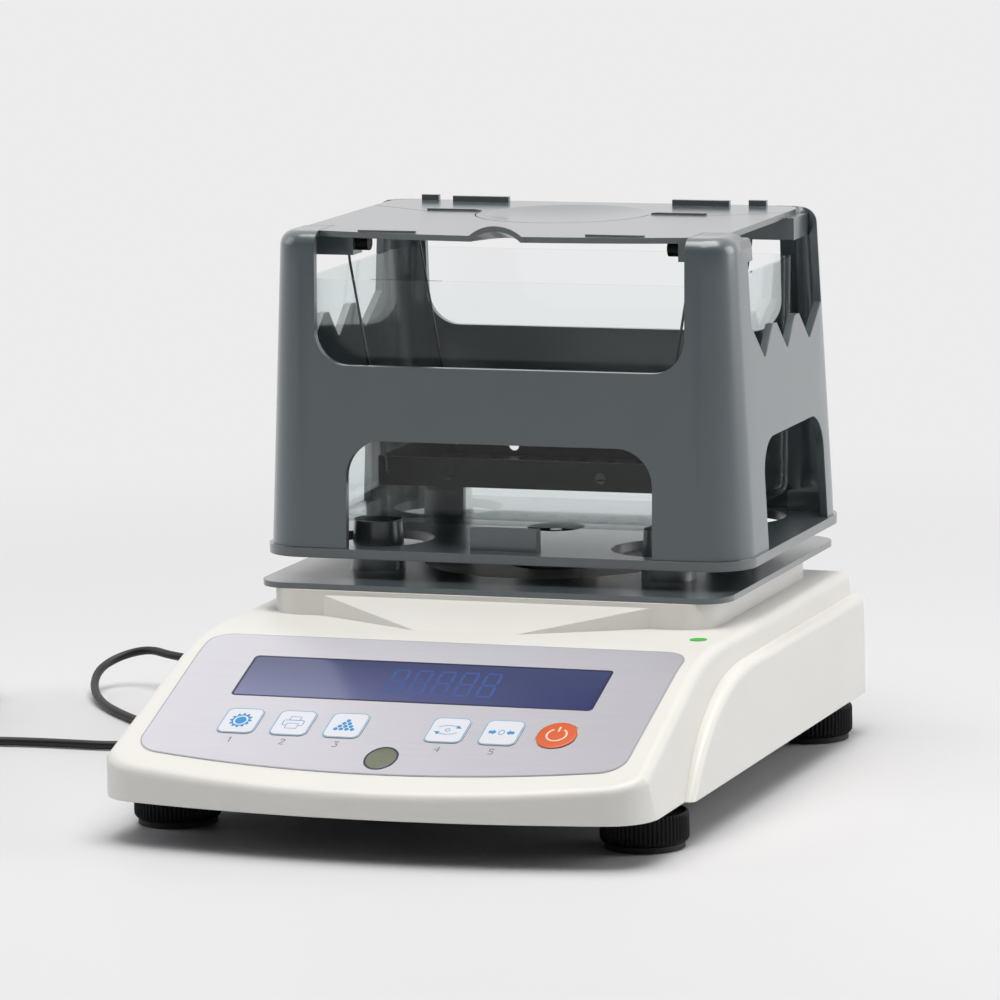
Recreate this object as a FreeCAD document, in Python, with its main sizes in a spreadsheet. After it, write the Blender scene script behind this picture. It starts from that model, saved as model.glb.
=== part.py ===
"""Benchtop density meter: a balance base with a sloping control panel, a weighing frame round a
clear immersion tank, a hanging basket, screw feet and a low-voltage supply lead.

Millimetres. X runs across the meter (+X is the right-hand side seen from the panel), -Y is the
front, +Z is up. The origin is on the table, under the middle of the meter.
"""
import FreeCAD, Part
import math
import os
import re
import Sketcher
from FreeCAD import Rotation, Vector

SIZES = {
    # white housing; "front" and "rear" are distances from the origin along Y
    "base_bottom": (16.0, "height of the base's underside"),
    "base_front": (148.3, "origin to the middle of the front lip"),
    "base_rear": (141.0, "origin to the rear wall"),
    "body_half": (104.0, "half width of the body at its underside"),
    "body_lean": (6.0, "lean of the body's side walls, degrees"),
    "deck_top": (62.4, "height of the flat deck"),
    "lip_top": (25.2, "height of the panel surface at the front lip"),
    "panel_slope": (20.25, "slope of the control panel, degrees"),
    "panel_blend": (112.0, "radius between panel and deck"),
    "front_bow": (415.0, "radius of the bowed front"),
    "nose_corner": (18.0, "plan radius of the front corners"),
    "rear_corner": (10.0, "plan radius of the rear corners"),
    "body_edge": (4.0, "rounding of the body's upper edges"),
    "wing_bulge": (3.6, "reach of a side wing beyond the body at its underside"),
    "wing_lean": (2.5, "lean of the wings, degrees"),
    "wing_top": (53.0, "height of the wings"),
    "wing_bend": (10.0, "origin to where the wings' top starts to fall"),
    "wing_radius": (108.0, "radius of the wings' falling front"),
    "wing_edge": (2.5, "rounding of the wings' upper edge"),
    "housing_wall": (2.5, "wall of the housing"),
    "platform_inset": (16.5, "body's side to the raised platform's side"),
    "platform_front": (5.0, "origin to the platform's front corners"),
    "platform_rear": (128.0, "origin to the platform's rear"),
    "platform_corner": (13.0, "plan radius of the platform"),
    "ramp_front": (28.0, "origin to the foot of the ramp"),
    "ramp_half": (20.0, "half width of the ramp at its foot"),
    "ramp_top_half": (74.0, "half width of the ramp at the platform"),
    "ramp_depth": (5.0, "depth of the ramp's top behind the platform front"),
    "carrier_opening": (19.0, "radius of the platform's opening for the carrier"),
    # bottom cover
    "cover_thick": (2.5, "thickness of the bottom cover"),
    "cover_gap": (0.3, "gap round the bottom cover"),
    "post_radius": (4.0, "radius of the housing screw posts"),
    "post_inset": (20.0, "body's side to the screw posts"),
    "post_front": (66.0, "origin to the front screw posts"),
    "post_rear": (88.0, "origin to the rear screw posts"),
    "screw_radius": (1.5, "radius of the M3 screws"),
    "screw_head": (2.75, "radius of the M3 heads"),
    "screw_head_height": (1.8, "height of the M3 heads"),
    "screw_gap": (0.2, "clearance round a screw"),
    "thread_depth": (9.0, "depth of a screw in its post"),
    # feet
    "foot_inset": (14.5, "body's side to the feet"),
    "foot_front": (93.0, "origin to the front feet"),
    "foot_rear": (118.5, "origin to the rear feet"),
    "foot_radius": (16.1, "radius of the foot knob"),
    "foot_top": (13.0, "height of the knob's top"),
    "foot_neck": (9.0, "radius of the knob's neck"),
    "foot_neck_top": (13.4, "height of the neck's top"),
    "pad_radius": (14.6, "radius of the rubber pad"),
    "pad_thick": (2.0, "thickness of the rubber pad"),
    "pad_stem": (4.0, "radius of the pad's stem"),
    "pad_stem_top": (6.0, "height of the pad's stem"),
    "foot_gap": (0.1, "running gap between pad and knob"),
    "stud_radius": (3.0, "radius of the M6 stud"),
    "stud_top": (30.0, "height of the stud's top"),
    "insert_radius": (4.6, "outer radius of the brass insert"),
    "insert_top": (33.0, "height of the insert's top"),
    "seat_gap": (0.02, "radial clearance of pressed and bonded pieces"),
    "thread_gap": (0.05, "radial clearance of stud and insert"),
    "boss_wall": (2.4, "wall of the bosses round the inserts"),
    # control panel, measured up the slope from the lip
    "overlay_thick": (0.4, "thickness of the overlay"),
    "overlay_inset": (11.6, "body's side to the overlay's side"),
    "overlay_low": (13.1, "lip to the overlay's lower edge"),
    "overlay_high": (109.9, "lip to the overlay's upper edge"),
    "overlay_bow": (430.0, "radius of the overlay's lower edge"),
    "overlay_corner": (11.0, "radius of the overlay's lower corners"),
    "overlay_top_corner": (9.0, "radius of the overlay's upper corners"),
    "overlay_gap": (0.15, "gap between the overlay and what shows through it"),
    "window_half": (69.2, "half width of the display window"),
    "window_low": (62.6, "lip to the window's lower edge"),
    "window_high": (91.2, "lip to the window's upper edge"),
    "window_corner": (1.5, "radius of the window's corners"),
    "window_ledge": (2.0, "ledge that carries the window"),
    "key_half": (7.2, "half width of a key"),
    "key_reach": (8.5, "half length of a key up the slope"),
    "key_corner": (3.0, "radius of a key's corners"),
    "power_half": (7.3, "half width of the round power key"),
    "power_reach": (8.8, "half length of the power key up the slope"),
    "key_row": (44.6, "lip to the middle of the key row"),
    "key_pitch": (20.3, "distance between keys"),
    "left_keys": (38.3, "middle of the left keys from the middle"),
    "right_keys": (41.0, "middle of the right keys from the middle"),
    "power_shift": (0.4, "extra distance of the power key"),
    "key_low": (0.45, "height of a key cap's underside over the panel"),
    "key_high": (0.8, "height of a key cap's top over the panel"),
    "key_stem": (2.0, "inset of a key's stem from its cap"),
    "key_stem_depth": (2.2, "reach of a key's stem below the panel"),
    "key_well_gap": (0.3, "gap round a key's stem"),
    "switch_gap": (0.45, "free travel between key and switch"),
    "board_depth": (6.0, "depth of the panel board's top below the panel"),
    "board_screw": (1.1, "radius of the circuit boards' screws"),
    "board_screw_head": (2.0, "radius of those screws' heads"),
    "board_screw_height": (1.5, "height of those screws' heads"),
    "board_thick": (1.6, "thickness of the circuit boards"),
    "board_gap": (0.5, "gap between the panel board and the screw posts"),
    "board_low": (34.0, "lip to the panel board's lower edge"),
    "board_high": (97.0, "lip to the panel board's upper edge"),
    "switch_half": (3.0, "half width of a key switch"),
    "display_gap": (0.4, "gap round the display module"),
    "display_drop": (0.3, "depth of the display's face below the panel"),
    "vial_x": (2.2, "level vial from the middle"),
    "vial_row": (23.9, "lip to the middle of the level window"),
    "vial_radius": (5.2, "radius of the level vial"),
    "level_half": (5.9, "half width of the level window"),
    "level_reach": (7.5, "half length of the level window up the slope"),
    "vial_top": (29.6, "height of the level vial's top"),
    "vial_height": (7.0, "height of the level vial"),
    "holder_wall": (1.2, "wall of the level vial's holder"),
    "dot_radius": (3.2, "radius of the green dot on the deck"),
    "dot_thick": (0.2, "thickness of the green dot"),
    "dot_inset": (15.4, "body's side to the green dot"),
    "dot_front": (23.0, "origin to the green dot"),
    # inside the base
    "cell_half": (10.0, "half width of the load cell"),
    "cell_bottom": (27.0, "height of the load cell's underside"),
    "cell_height": (20.0, "height of the load cell"),
    "cell_front": (33.0, "origin to the load cell's free end"),
    "cell_rear": (125.0, "origin to the load cell's fixed end"),
    "cell_block": (24.0, "length of the blocks at the load cell's ends"),
    "cell_screw": (2.0, "radius of the load cell's screws"),
    "cell_screw_head": (3.5, "radius of their heads"),
    "cell_screw_reach": (10.0, "reach of those screws into the load cell"),
    "cell_bore": (7.0, "radius of the load cell's flexure bores"),
    "cell_bore_pitch": (15.0, "distance between the flexure bores"),
    "weigh_sag": (0.4, "sag of the weighing frame at full load"),
    "weigh_gap": (0.1, "clear space left at full load"),
    "carrier_plate": (4.0, "thickness of the carrier arm"),
    "carrier_post": (11.0, "radius of the carrier post"),
    "main_board_inset": (25.0, "body's side to the main board's left edge"),
    "main_board_right": (24.0, "middle to the main board's right edge"),
    "main_board_front": (76.0, "origin to the main board's front edge"),
    "main_board_rear": (137.0, "origin to the main board's rear edge"),
    "main_board_height": (24.0, "height of the main board's underside"),
    "standoff_radius": (3.0, "radius of the board standoffs"),
    "standoff_inset": (5.0, "standoff centre from the board's edges"),
    "jack_inset": (34.0, "body's side to the power jack"),
    "jack_half": (5.0, "half width of the power jack"),
    "jack_height": (11.0, "height of the power jack"),
    "jack_depth": (12.0, "length of the power jack"),
    "jack_nose": (4.2, "radius of the jack's nose in the rear wall"),
    "jack_bore": (2.95, "radius of the jack's bore"),
    "jack_bore_depth": (9.5, "depth of the jack's bore"),
    "jack_pin": (1.0, "radius of the jack's pin"),
    "port_x": (40.0, "data port from the middle"),
    "port_half": (15.4, "half width of the data port's flange"),
    "port_height": (12.5, "height of the data port's flange"),
    "port_depth": (11.0, "depth of the data port's body"),
    "port_shell_wall": (0.8, "wall of the data port's shell"),
    "port_shell_half": (8.3, "half width of the data port's shell"),
    "port_shell_height": (8.4, "height of the data port's shell"),
    "port_standout": (5.8, "reach of the port's shell behind the rear wall"),
    "port_screw_x": (12.495, "half spacing of the port's jack screws"),
    "port_stud": (2.4, "radius of the port's jack screws"),
    "port_screw": (1.42, "radius of the port's threaded holes"),
    "port_shank": (1.2, "radius of the jack screws' shanks"),
    "port_stud_length": (5.0, "reach of the jack screws behind the rear wall"),
    "port_thread": (4.5, "depth of the jack screws' threads"),
    # tank tray and tank
    "tray_bottom": (71.9, "height of the tray's underside"),
    "tray_thick": (2.2, "thickness of the tray"),
    "tray_front": (3.2, "origin to the tray's front edge"),
    "tray_rear": (148.3, "origin to the tray's rear edge"),
    "tray_inset": (2.6, "frame's side to the tray's side"),
    "tray_corner": (12.0, "plan radius of the tray"),
    "tray_hole": (49.0, "radius of the tray's opening"),
    "tray_hole_y": (74.0, "origin to the middle of the tray's opening"),
    "pillar_x": (58.0, "pillar from the middle"),
    "pillar_y": (40.25, "pillar from the pan's middle"),
    "pillar_foot": (10.4, "radius of a pillar's foot"),
    "tray_screw_reach": (14.0, "reach of the tray's screws above its underside"),
    "pillar_head": (9.2, "radius of a pillar's head"),
    "tank_bottom": (93.0, "height of the tank's underside"),
    "tank_top": (186.4, "height of the tank's rim"),
    "tank_inset": (15.8, "frame's side to the tank's side, at their feet"),
    "tank_depth_inset": (15.3, "frame's front to the tank's front, at their feet"),
    "tank_lean": (1.35, "outward lean of the tank's walls, degrees"),
    "tank_corner": (10.0, "plan radius of the tank"),
    "tank_edge": (6.0, "radius of the tank's bottom edge"),
    "tank_wall": (2.0, "wall of the tank"),
    # weighing frame
    "pan_y": (78.75, "origin to the middle of the weighing frame"),
    "floor_bottom": (81.9, "height of the frame floor's underside"),
    "floor_top": (85.5, "height of the frame floor's top"),
    "flange_ledge": (1.0, "ledge outside the frame's walls"),
    "flange_corner": (17.0, "plan radius of the flange"),
    "frame_half": (95.5, "half width of the frame's walls at the floor"),
    "frame_depth_half": (68.5, "half depth of the frame's walls at the floor"),
    "frame_lean": (2.7, "lean of the frame's walls, degrees"),
    "frame_corner": (17.0, "plan radius of the frame's walls"),
    "frame_wall": (3.0, "wall of the frame"),
    "frame_edge": (6.0, "rounding of the frame's upper edges"),
    "frame_top": (204.9, "height of the frame's top"),
    "arch_inset": (35.0, "frame's side to the lower openings"),
    "arch_top": (126.6, "height of the lower openings' top"),
    "arch_corner": (14.0, "radius of the lower openings' corners"),
    "gate_inset": (22.5, "frame's side to the upper openings"),
    "gate_sill": (154.8, "height of the upper openings' sill"),
    "gate_corner": (13.0, "radius of the upper openings' corners"),
    "side_front": (45.0, "origin to the side arch's front edge"),
    "side_rear": (124.0, "origin to the side arch's rear edge"),
    "side_gate_front": (38.8, "origin to the side gate's front edge"),
    "side_gate_rear": (131.5, "origin to the side gate's rear edge"),
    "notch_first": (54.0, "origin to the first hook notch"),
    "notch_pitch": (29.6, "distance between hook notches"),
    "notch_half": (12.2, "half width of a hook notch"),
    "notch_tip": (0.9, "half width of a notch at its bottom"),
    "notch_bottom": (157.0, "height of the hook notches' bottom"),
    "notch_top": (167.7, "height of the teeth between the notches"),
    "floor_hole": (21.5, "radius of the floor's openings for the pillars"),
    "hub_radius": (16.0, "radius of the floor's hub"),
    "hub_bottom": (77.6, "height of the hub's underside"),
    "hub_recess": (11.0, "radius of the recess in the hub"),
    "hub_floor": (81.2, "height of the recess's floor"),
    "centre_screw_flange": (4.7, "radius of the centre screw's flange"),
    "centre_screw_seat": (1.0, "thickness of the centre screw's flange"),
    "centre_screw_head": (2.3, "radius of the centre screw's head"),
    "centre_screw_top": (84.6, "height of the centre screw's head"),
    "centre_screw_reach": (12.0, "depth of the centre screw in its post"),
    "tab_half": (13.2, "half width of the front tab"),
    "tab_front": (16.6, "origin to the front tab"),
    "tab_thick": (5.0, "thickness of the front tab"),
    "tab_top": (94.0, "height of the front tab"),
    "gusset_front": (137.0, "origin to the rear gussets' front face"),
    "gusset_width": (20.0, "width of the rear gussets"),
    "gusset_top": (93.0, "height of the rear gussets"),
    "lug_width": (31.0, "frame's side to the lugs' inner face"),
    "lug_height": (8.5, "height of the lugs"),
    "lug_half": (5.0, "half depth of a lug"),
    "lug_inset": (9.0, "frame's side to the rear lugs' outer face"),
    "lug_arm_width": (7.0, "width of the rear lugs' arms"),
    # loose top plates
    "plate_thick": (2.2, "thickness of the top plates"),
    "plate_inset": (11.8, "frame's side to the top plates' side"),
    "plate_front": (13.6, "origin to the front plate's front edge"),
    "plate_rear": (135.5, "origin to the rear plate's rear edge"),
    "plate_bow": (330.0, "radius of the front plate's front edge"),
    "plate_corner": (11.0, "plan radius of the top plates"),
    "plate_gap": (0.3, "gap round the top plates"),
    "seam_y": (94.3, "origin to the straight part of the seam"),
    "seam_side_y": (111.5, "origin to the seam's outer ends"),
    "seam_knee": (56.0, "middle to the seam's knees"),
    "seam_gap": (0.5, "gap between the two top plates"),
    "dish_y": (95.0, "origin to the middle of the sample dish"),
    "dish_radius": (34.0, "radius of the sample dish"),
    "dish_hollow": (31.0, "radius of the dish's hollow"),
    "dish_depth": (2.0, "depth of the dish's hollow"),
    "dish_sink": (1.8, "depth of the dish's underside below the plates"),
    "rib_inner": (33.5, "middle to the ribs' inner ends"),
    "rib_outer": (56.5, "middle to the ribs' outer ends"),
    "rib_height": (0.8, "height of the low ribs"),
    "rib_thick": (1.2, "thickness of the low ribs"),
    "front_rib_y": (19.5, "origin to the front ribs"),
    "middle_rib_y": (97.0, "origin to the middle ribs"),
    "bar_y": (127.5, "origin to the rear bars"),
    "bar_height": (2.5, "height of the rear bars"),
    "bar_thick": (2.2, "thickness of the rear bars"),
    "stop_inner": (63.5, "middle to the small bars' inner ends"),
    "stop_outer": (70.5, "middle to the small bars' outer ends"),
    "stop_y": (130.5, "origin to the small bars"),
    "hood_half": (12.6, "half width of the finger hood"),
    "hood_height": (6.0, "height of the finger hood over the plates' underside"),
    "hood_depth": (22.0, "depth of the finger hood"),
    "hood_wall": (2.0, "wall of the finger hood"),
    # hanging basket
    "wire_radius": (0.5, "radius of the hanging wires"),
    "wire_inset": (27.5, "frame's side to the wires at the lugs"),
    "wire_y": (38.75, "wires from the pan's middle"),
    "wire_gap": (0.35, "clearance round a wire in its lug"),
    "wire_drop": (1.4, "depth of the wires' top below the top plates"),
    "wire_bend_drop": (1.6, "depth of the wires' upper bend below the lugs"),
    "hook_inset": (4.0, "basket's side to its hook holes"),
    "hook_z": (110.6, "height of the wires' hooks"),
    "hook_reach": (2.0, "wire to the basket wall that it hooks through"),
    "hook_gap": (0.4, "clearance round a hook in the basket wall"),
    "clamp_shank": (1.4, "radius of the wire clamp screws"),
    "clamp_radius": (3.0, "radius of the wire clamp knobs"),
    "clamp_length": (5.0, "length of the wire clamp knobs"),
    "clamp_drop": (4.1, "depth of the wire clamps below the top plates"),
    "basket_inset": (37.0, "frame's side to the basket's side"),
    "basket_bottom": (105.6, "height of the basket's underside"),
    "basket_top": (116.6, "height of the basket's rim"),
    "basket_wall": (1.0, "sheet thickness of the basket"),
    "wall_hole_x": (30.5, "middle to the holes in the basket's long walls"),
    "perforation": (2.2, "radius of the basket's holes"),
    "floor_columns": (9, "number of holes across the basket's floor"),
    "floor_rows": (6, "number of holes along the basket's floor"),
    "perforation_edge": (10.5, "basket's side to the first row of holes"),
    # supply lead
    "cord_radius": (1.7, "radius of the supply lead"),
    "plug_half": (5.2, "half width of the angled plug"),
    "plug_gap": (0.3, "gap between plug and rear wall"),
    "relief_length": (22.0, "length of the plug's strain relief"),
    "plug_low": (5.6, "plug's underside below the jack's axis"),
    "plug_barrel": (2.75, "radius of the plug's barrel"),
    "plug_barrel_length": (9.0, "length of the plug's barrel"),
    "relief_radius": (3.0, "radius of the plug's strain relief"),
    "prong_radius": (2.2, "radius of the adapter's prongs"),
    "prong_length": (19.0, "length of the adapter's prongs"),
    "prong_pitch": (19.0, "distance between the prongs"),
    "adapter_corner": (4.0, "corners of the mains adapter"),
    "coil_gap": (0.3, "gap between coil and adapter"),
    "coil_turn": (19.0, "radius of the coil at the middle of its turns"),
    "coil_width": (11.0, "width of the coil's bundle"),
    "coil_height": (11.5, "height of the coil's bundle"),
    "adapter_length": (68.0, "length of the mains adapter"),
    "adapter_width": (44.0, "width of the mains adapter"),
    "adapter_height": (30.0, "height of the mains adapter"),
}

# Supply lead: the points of its route from the plug to the coil, chosen by hand.
CORD_ROUTE = [
    (-124, 146, 29), (-150, 145, 22), (-174, 147, 14), (-192, 153.5, 14.3), (-203.9, 161.9, 15),
    (-214.7, 160.9, 12.7), (-221.3, 152, 9.2), (-219.5, 138.5, 5.9), (-212.5, 122.5, 3.2),
    (-202, 107, 1.9), (-190, 93, 1.7), (-175.3, 78, 1.7), (-159, 63, 1.7), (-149.5, 48, 1.7),
    (-153, 34, 1.7), (-167, 28, 1.7), (-188, 28.5, 1.7), (-208, 27.5, 1.7),
]
COIL_CENTRE = (-252.0, 28.0)
ADAPTER_X = -275.0

# Places that follow from the sizes.
PLACES = {
    "vial_y": "(vial_row * cos(panel_slope) - base_front)",
    "jack_z": "(main_board_height + board_thick + jack_height / 2)",
    "port_z": "(main_board_height + board_thick + port_height / 2)",
    "cell_top": "(cell_bottom + cell_height)",
    "rear_inside": "(base_rear - housing_wall)",
    "cover_top": "(base_bottom + cover_thick)",
    "wing_half": "(body_half + wing_bulge)",
    "platform_half": "(body_half - platform_inset)",
    "post_x": "(body_half - post_inset)",
    "board_half": "(body_half - post_inset - post_radius - board_gap)",
    "foot_x": "(body_half - foot_inset)",
    "overlay_half": "(body_half - overlay_inset)",
    "dot_x": "(body_half - dot_inset)",
    "main_board_left": "(body_half - main_board_inset)",
    "jack_x": "(body_half - jack_inset)",
    "tray_half": "(frame_half - tray_inset)",
    "tank_half": "(frame_half - tank_inset)",
    "tank_depth_half": "(frame_depth_half - tank_depth_inset)",
    "arch_half": "(frame_half - arch_inset)",
    "gate_half": "(frame_half - gate_inset)",
    "gusset_inner": "(frame_half - gusset_width)",
    "lug_inner": "(frame_half - lug_width)",
    "lug_reach": "(frame_half - lug_inset)",
    "lug_arm": "(lug_reach - lug_arm_width)",
    "plate_half": "(frame_half - plate_inset)",
    "wire_x": "(frame_half - wire_inset)",
    "basket_half": "(frame_half - basket_inset)",
    "hook_x": "(basket_half - hook_inset)",
    "plate_bottom": "(frame_top - plate_thick)",
    "dish_bottom": "(plate_bottom - dish_sink)",
    "lug_bottom": "(plate_bottom - lug_height)",
    "clamp_z": "(plate_bottom - clamp_drop)",
    "wire_top": "(plate_bottom - wire_drop)",
    "wire_bend": "(lug_bottom - wire_bend_drop)",
    "perforation_pitch": "((basket_half - perforation_edge) * 2 / (floor_columns - 1))",
}

# Shapes that are ratios.
GATE_FRONT_RISE = 0.87
GATE_REAR_RISE = 0.64
WIRE_BEND_SHARE = 0.3
CORD_BEND_SHARE = 0.45

doc = FreeCAD.newDocument("DensityMeter")
sheet = doc.addObject("Spreadsheet::Sheet", "Sizes")
for row, (alias, (size, meaning)) in enumerate(SIZES.items(), start=1):
    sheet.set(f"A{row}", meaning)
    sheet.set(f"B{row}", str(size))
    sheet.setAlias(f"B{row}", alias)
doc.recompute()
nodes = []


# ---------------------------------------------------------------- helpers

def name_cells(text):
    """An expression in which each size is read from its cell of the sheet."""
    def cell(word):
        name = word.group()
        if name in PLACES:
            return name_cells(PLACES[name])
        return "Sizes." + name if name in SIZES else name
    return re.sub(r"[a-z_]\w*", cell, text)


def number(text):
    return float(sheet.evalExpression(name_cells(text)))


def bind(item, texts):
    """Tie properties of an object to expressions of sizes."""
    for name, text in texts.items():
        item.setExpression(name, name_cells(text))
    return item


def place(item, x, y, z):
    return bind(item, {"Placement.Base.x": x, "Placement.Base.y": y, "Placement.Base.z": z})


def origin_plane(body, role):
    return next(item for item in body.Origin.OriginFeatures if item.Role == role)


def new_sketch(label, plane, start, length):
    """A body with a sketch on one of its planes, at the low end of the slab it will make."""
    body = doc.addObject("PartDesign::Body", label)
    sketch = body.newObject("Sketcher::SketchObject", label + "_sketch")
    sketch.AttachmentSupport = (origin_plane(body, plane + "_Plane"), "")
    sketch.MapMode = "FlatFace"
    offset = f"-({start}) - ({length})" if plane == "XZ" else start
    bind(sketch, {"AttachmentOffset.Base.z": offset})
    return body, sketch


def dimension(sketch, kind, where, text):
    """Add a driving dimension; where holds the geometry and points it measures."""
    index = sketch.addConstraint(Sketcher.Constraint(kind, *where, number(text)))
    bind(sketch, {f"Constraints[{index}]": text})


def pad(body, sketch, length, lean):
    """Raise a sketch to a slab; lean tips its walls inwards."""
    feature = body.newObject("PartDesign::Pad", body.Name + "_pad")
    feature.Profile = sketch
    bind(feature, {"Length": length})
    if lean:
        bind(feature, {"TaperAngle": f"-({lean})"})
    doc.recompute()
    return body


def prism(label, plane, points, start, length):
    """A slab with a polygon outline; each corner is placed by its own two dimensions."""
    body, sketch = new_sketch(label, plane, start, length)
    spots = [Vector(number(across), number(along), 0) for across, along in points]
    count = len(spots)
    for i in range(count):
        sketch.addGeometry(Part.LineSegment(spots[i], spots[(i + 1) % count]), False)
    for i in range(count):
        sketch.addConstraint(Sketcher.Constraint("Coincident", i, 2, (i + 1) % count, 1))
    for i, (across, along) in enumerate(points):
        dimension(sketch, "DistanceX", (-1, 1, i, 1), across)
        dimension(sketch, "DistanceY", (-1, 1, i, 1), along)
    return pad(body, sketch, length, None)


def arc(x, y, radius, first, last):
    circle = Part.Circle(Vector(x, y, 0), Vector(0, 0, 1), radius)
    return Part.ArcOfCircle(circle, math.radians(first), math.radians(last))


def line(x1, y1, x2, y2):
    return Part.LineSegment(Vector(x1, y1, 0), Vector(x2, y2, 0))


def join_outline(sketch):
    """Join the ends of neighbouring lines and arcs, tangent to each other."""
    for i in range(8):
        sketch.addConstraint(Sketcher.Constraint("Tangent", i, 2, (i + 1) % 8, 1))


def slab(label, plane, across, along, corner, start, length, lean=None):
    """A slab with a rounded rectangle as its outline."""
    body, sketch = new_sketch(label, plane, start, length)
    a, b = (number(text) for text in across)
    c, d = (number(text) for text in along)
    q = number(corner)
    sketch.addGeometry([
        line(a + q, c, b - q, c), arc(b - q, c + q, q, -90, 0),
        line(b, c + q, b, d - q), arc(b - q, d - q, q, 0, 90),
        line(b - q, d, a + q, d), arc(a + q, d - q, q, 90, 180),
        line(a, d - q, a, c + q), arc(a + q, c + q, q, 180, 270),
    ], False)
    join_outline(sketch)
    for i, kind in ((0, "Horizontal"), (2, "Vertical"), (4, "Horizontal"), (6, "Vertical")):
        sketch.addConstraint(Sketcher.Constraint(kind, i))
    for i in (1, 3, 5):
        sketch.addConstraint(Sketcher.Constraint("Equal", i, i + 2))
    dimension(sketch, "DistanceX", (-1, 1, 6, 1), across[0])
    dimension(sketch, "DistanceX", (-1, 1, 2, 1), across[1])
    dimension(sketch, "DistanceY", (-1, 1, 0, 1), along[0])
    dimension(sketch, "DistanceY", (-1, 1, 4, 1), along[1])
    dimension(sketch, "Radius", (1,), corner)
    return pad(body, sketch, length, lean)


def bowed_slab(label, half, front, rear, bow, front_corner, rear_corner, start, length):
    """A slab with straight sides and rear, a bowed front and four rounded corners."""
    body, sketch = new_sketch(label, "XY", start, length)
    w, f, r, b, p, q = (number(text) for text in (half, front, rear, bow, front_corner, rear_corner))
    middle = f + b
    corner = middle - math.sqrt((b - p) ** 2 - (w - p) ** 2)
    turn = math.degrees(math.atan2(w - p, middle - corner))
    sketch.addGeometry([
        arc(0, middle, b, 270 - turn, 270 + turn), arc(w - p, corner, p, 270 + turn, 360),
        line(w, corner, w, r - q), arc(w - q, r - q, q, 0, 90),
        line(w - q, r, q - w, r), arc(q - w, r - q, q, 90, 180),
        line(-w, r - q, -w, corner), arc(p - w, corner, p, 180, 270 - turn),
    ], False)
    join_outline(sketch)
    for i, kind in ((2, "Vertical"), (4, "Horizontal"), (6, "Vertical")):
        sketch.addConstraint(Sketcher.Constraint(kind, i))
    sketch.addConstraint(Sketcher.Constraint("Equal", 1, 7))
    sketch.addConstraint(Sketcher.Constraint("Equal", 3, 5))
    dimension(sketch, "DistanceX", (-1, 1, 2, 1), half)
    dimension(sketch, "DistanceX", (-1, 1, 6, 1), f"-({half})")
    dimension(sketch, "DistanceY", (-1, 1, 4, 1), rear)
    dimension(sketch, "DistanceX", (-1, 1, 0, 3), "0")
    dimension(sketch, "DistanceY", (-1, 1, 0, 3), f"({front}) + ({bow})")
    dimension(sketch, "Radius", (0,), bow)
    dimension(sketch, "Radius", (1,), front_corner)
    dimension(sketch, "Radius", (3,), rear_corner)
    return pad(body, sketch, length, None)


def box(label, x, y, z):
    """A box between pairs of low and high ends."""
    item = doc.addObject("Part::Box", label)
    lengths = zip(("Length", "Width", "Height"), (x, y, z))
    bind(item, {name: f"({high}) - ({low})" for name, (low, high) in lengths})
    return place(item, x[0], y[0], z[0])


def stand(item, spot, span, axis):
    """Turn a round piece to its axis and place its low end."""
    turn = {"X": Rotation(Vector(0, 1, 0), 90), "Y": Rotation(Vector(1, 0, 0), -90), "Z": Rotation()}
    item.Placement = FreeCAD.Placement(Vector(), turn[axis])
    low = span[0]
    corner = {"X": (low, *spot), "Y": (spot[0], low, spot[1]), "Z": (*spot, low)}
    return place(item, *corner[axis])


def cylinder(label, radius, spot, span, axis="Z"):
    """A cylinder; spot holds its place across its axis and span its two ends."""
    item = doc.addObject("Part::Cylinder", label)
    bind(item, {"Radius": radius, "Height": f"({span[1]}) - ({span[0]})"})
    return stand(item, spot, span, axis)


def cone(label, low_radius, high_radius, spot, span, axis="Z"):
    item = doc.addObject("Part::Cone", label)
    bind(item, {"Radius1": low_radius, "Radius2": high_radius, "Height": f"({span[1]}) - ({span[0]})"})
    return stand(item, spot, span, axis)


def group(label, *parts):
    """Separate solids in one node, or the tools of one cut."""
    item = doc.addObject("Part::Compound", label)
    item.Links = list(parts)
    doc.recompute()
    return item


def fuse(label, *parts):
    item = doc.addObject("Part::MultiFuse", label)
    item.Shapes = list(parts)
    doc.recompute()
    return item


def common(label, *parts):
    item = doc.addObject("Part::MultiCommon", label)
    item.Shapes = list(parts)
    doc.recompute()
    return item


def cut(label, base, *tools):
    item = doc.addObject("Part::Cut", label)
    item.Base = base
    item.Tool = tools[0] if len(tools) == 1 else fuse(label + "_tools", *tools)
    doc.recompute()
    return item


def rounded(label, base, test, radius):
    """A body that starts from base and rounds each edge whose middle passes the test."""
    body = doc.addObject("PartDesign::Body", label)
    body.BaseFeature = base
    doc.recompute()
    edges = []
    for i, edge in enumerate(body.Shape.Edges, start=1):
        if test(edge.valueAt((edge.FirstParameter + edge.LastParameter) / 2)):
            edges.append(f"Edge{i}")
    feature = body.newObject("PartDesign::Fillet", label + "_fillet")
    feature.Base = (body.Group[0], edges)
    bind(feature, {"Radius": radius})
    doc.recompute()
    return body


def on_panel(item):
    """Lay a piece drawn as across, up the slope and out of the panel onto the panel."""
    item.Placement = FreeCAD.Placement(Vector(), Rotation(Vector(1, 0, 0), 1))
    bind(item, {"Placement.Rotation.Angle": "panel_slope"})
    place(item, "0", "-base_front", "lip_top")
    doc.recompute()
    return item


def node(name, item):
    """Name a finished piece; its label is its file's name."""
    item.Label = name
    nodes.append(item)
    return item


SIDES = (("left", "-1"), ("right", "1"))
ENDS = (("front", "-1"), ("rear", "1"))


def mirrored(sign, inner, outer):
    """A span across the meter from inner to outer, on the side that the sign names."""
    return (f"-({outer})", f"-({inner})") if sign == "-1" else (inner, outer)


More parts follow.
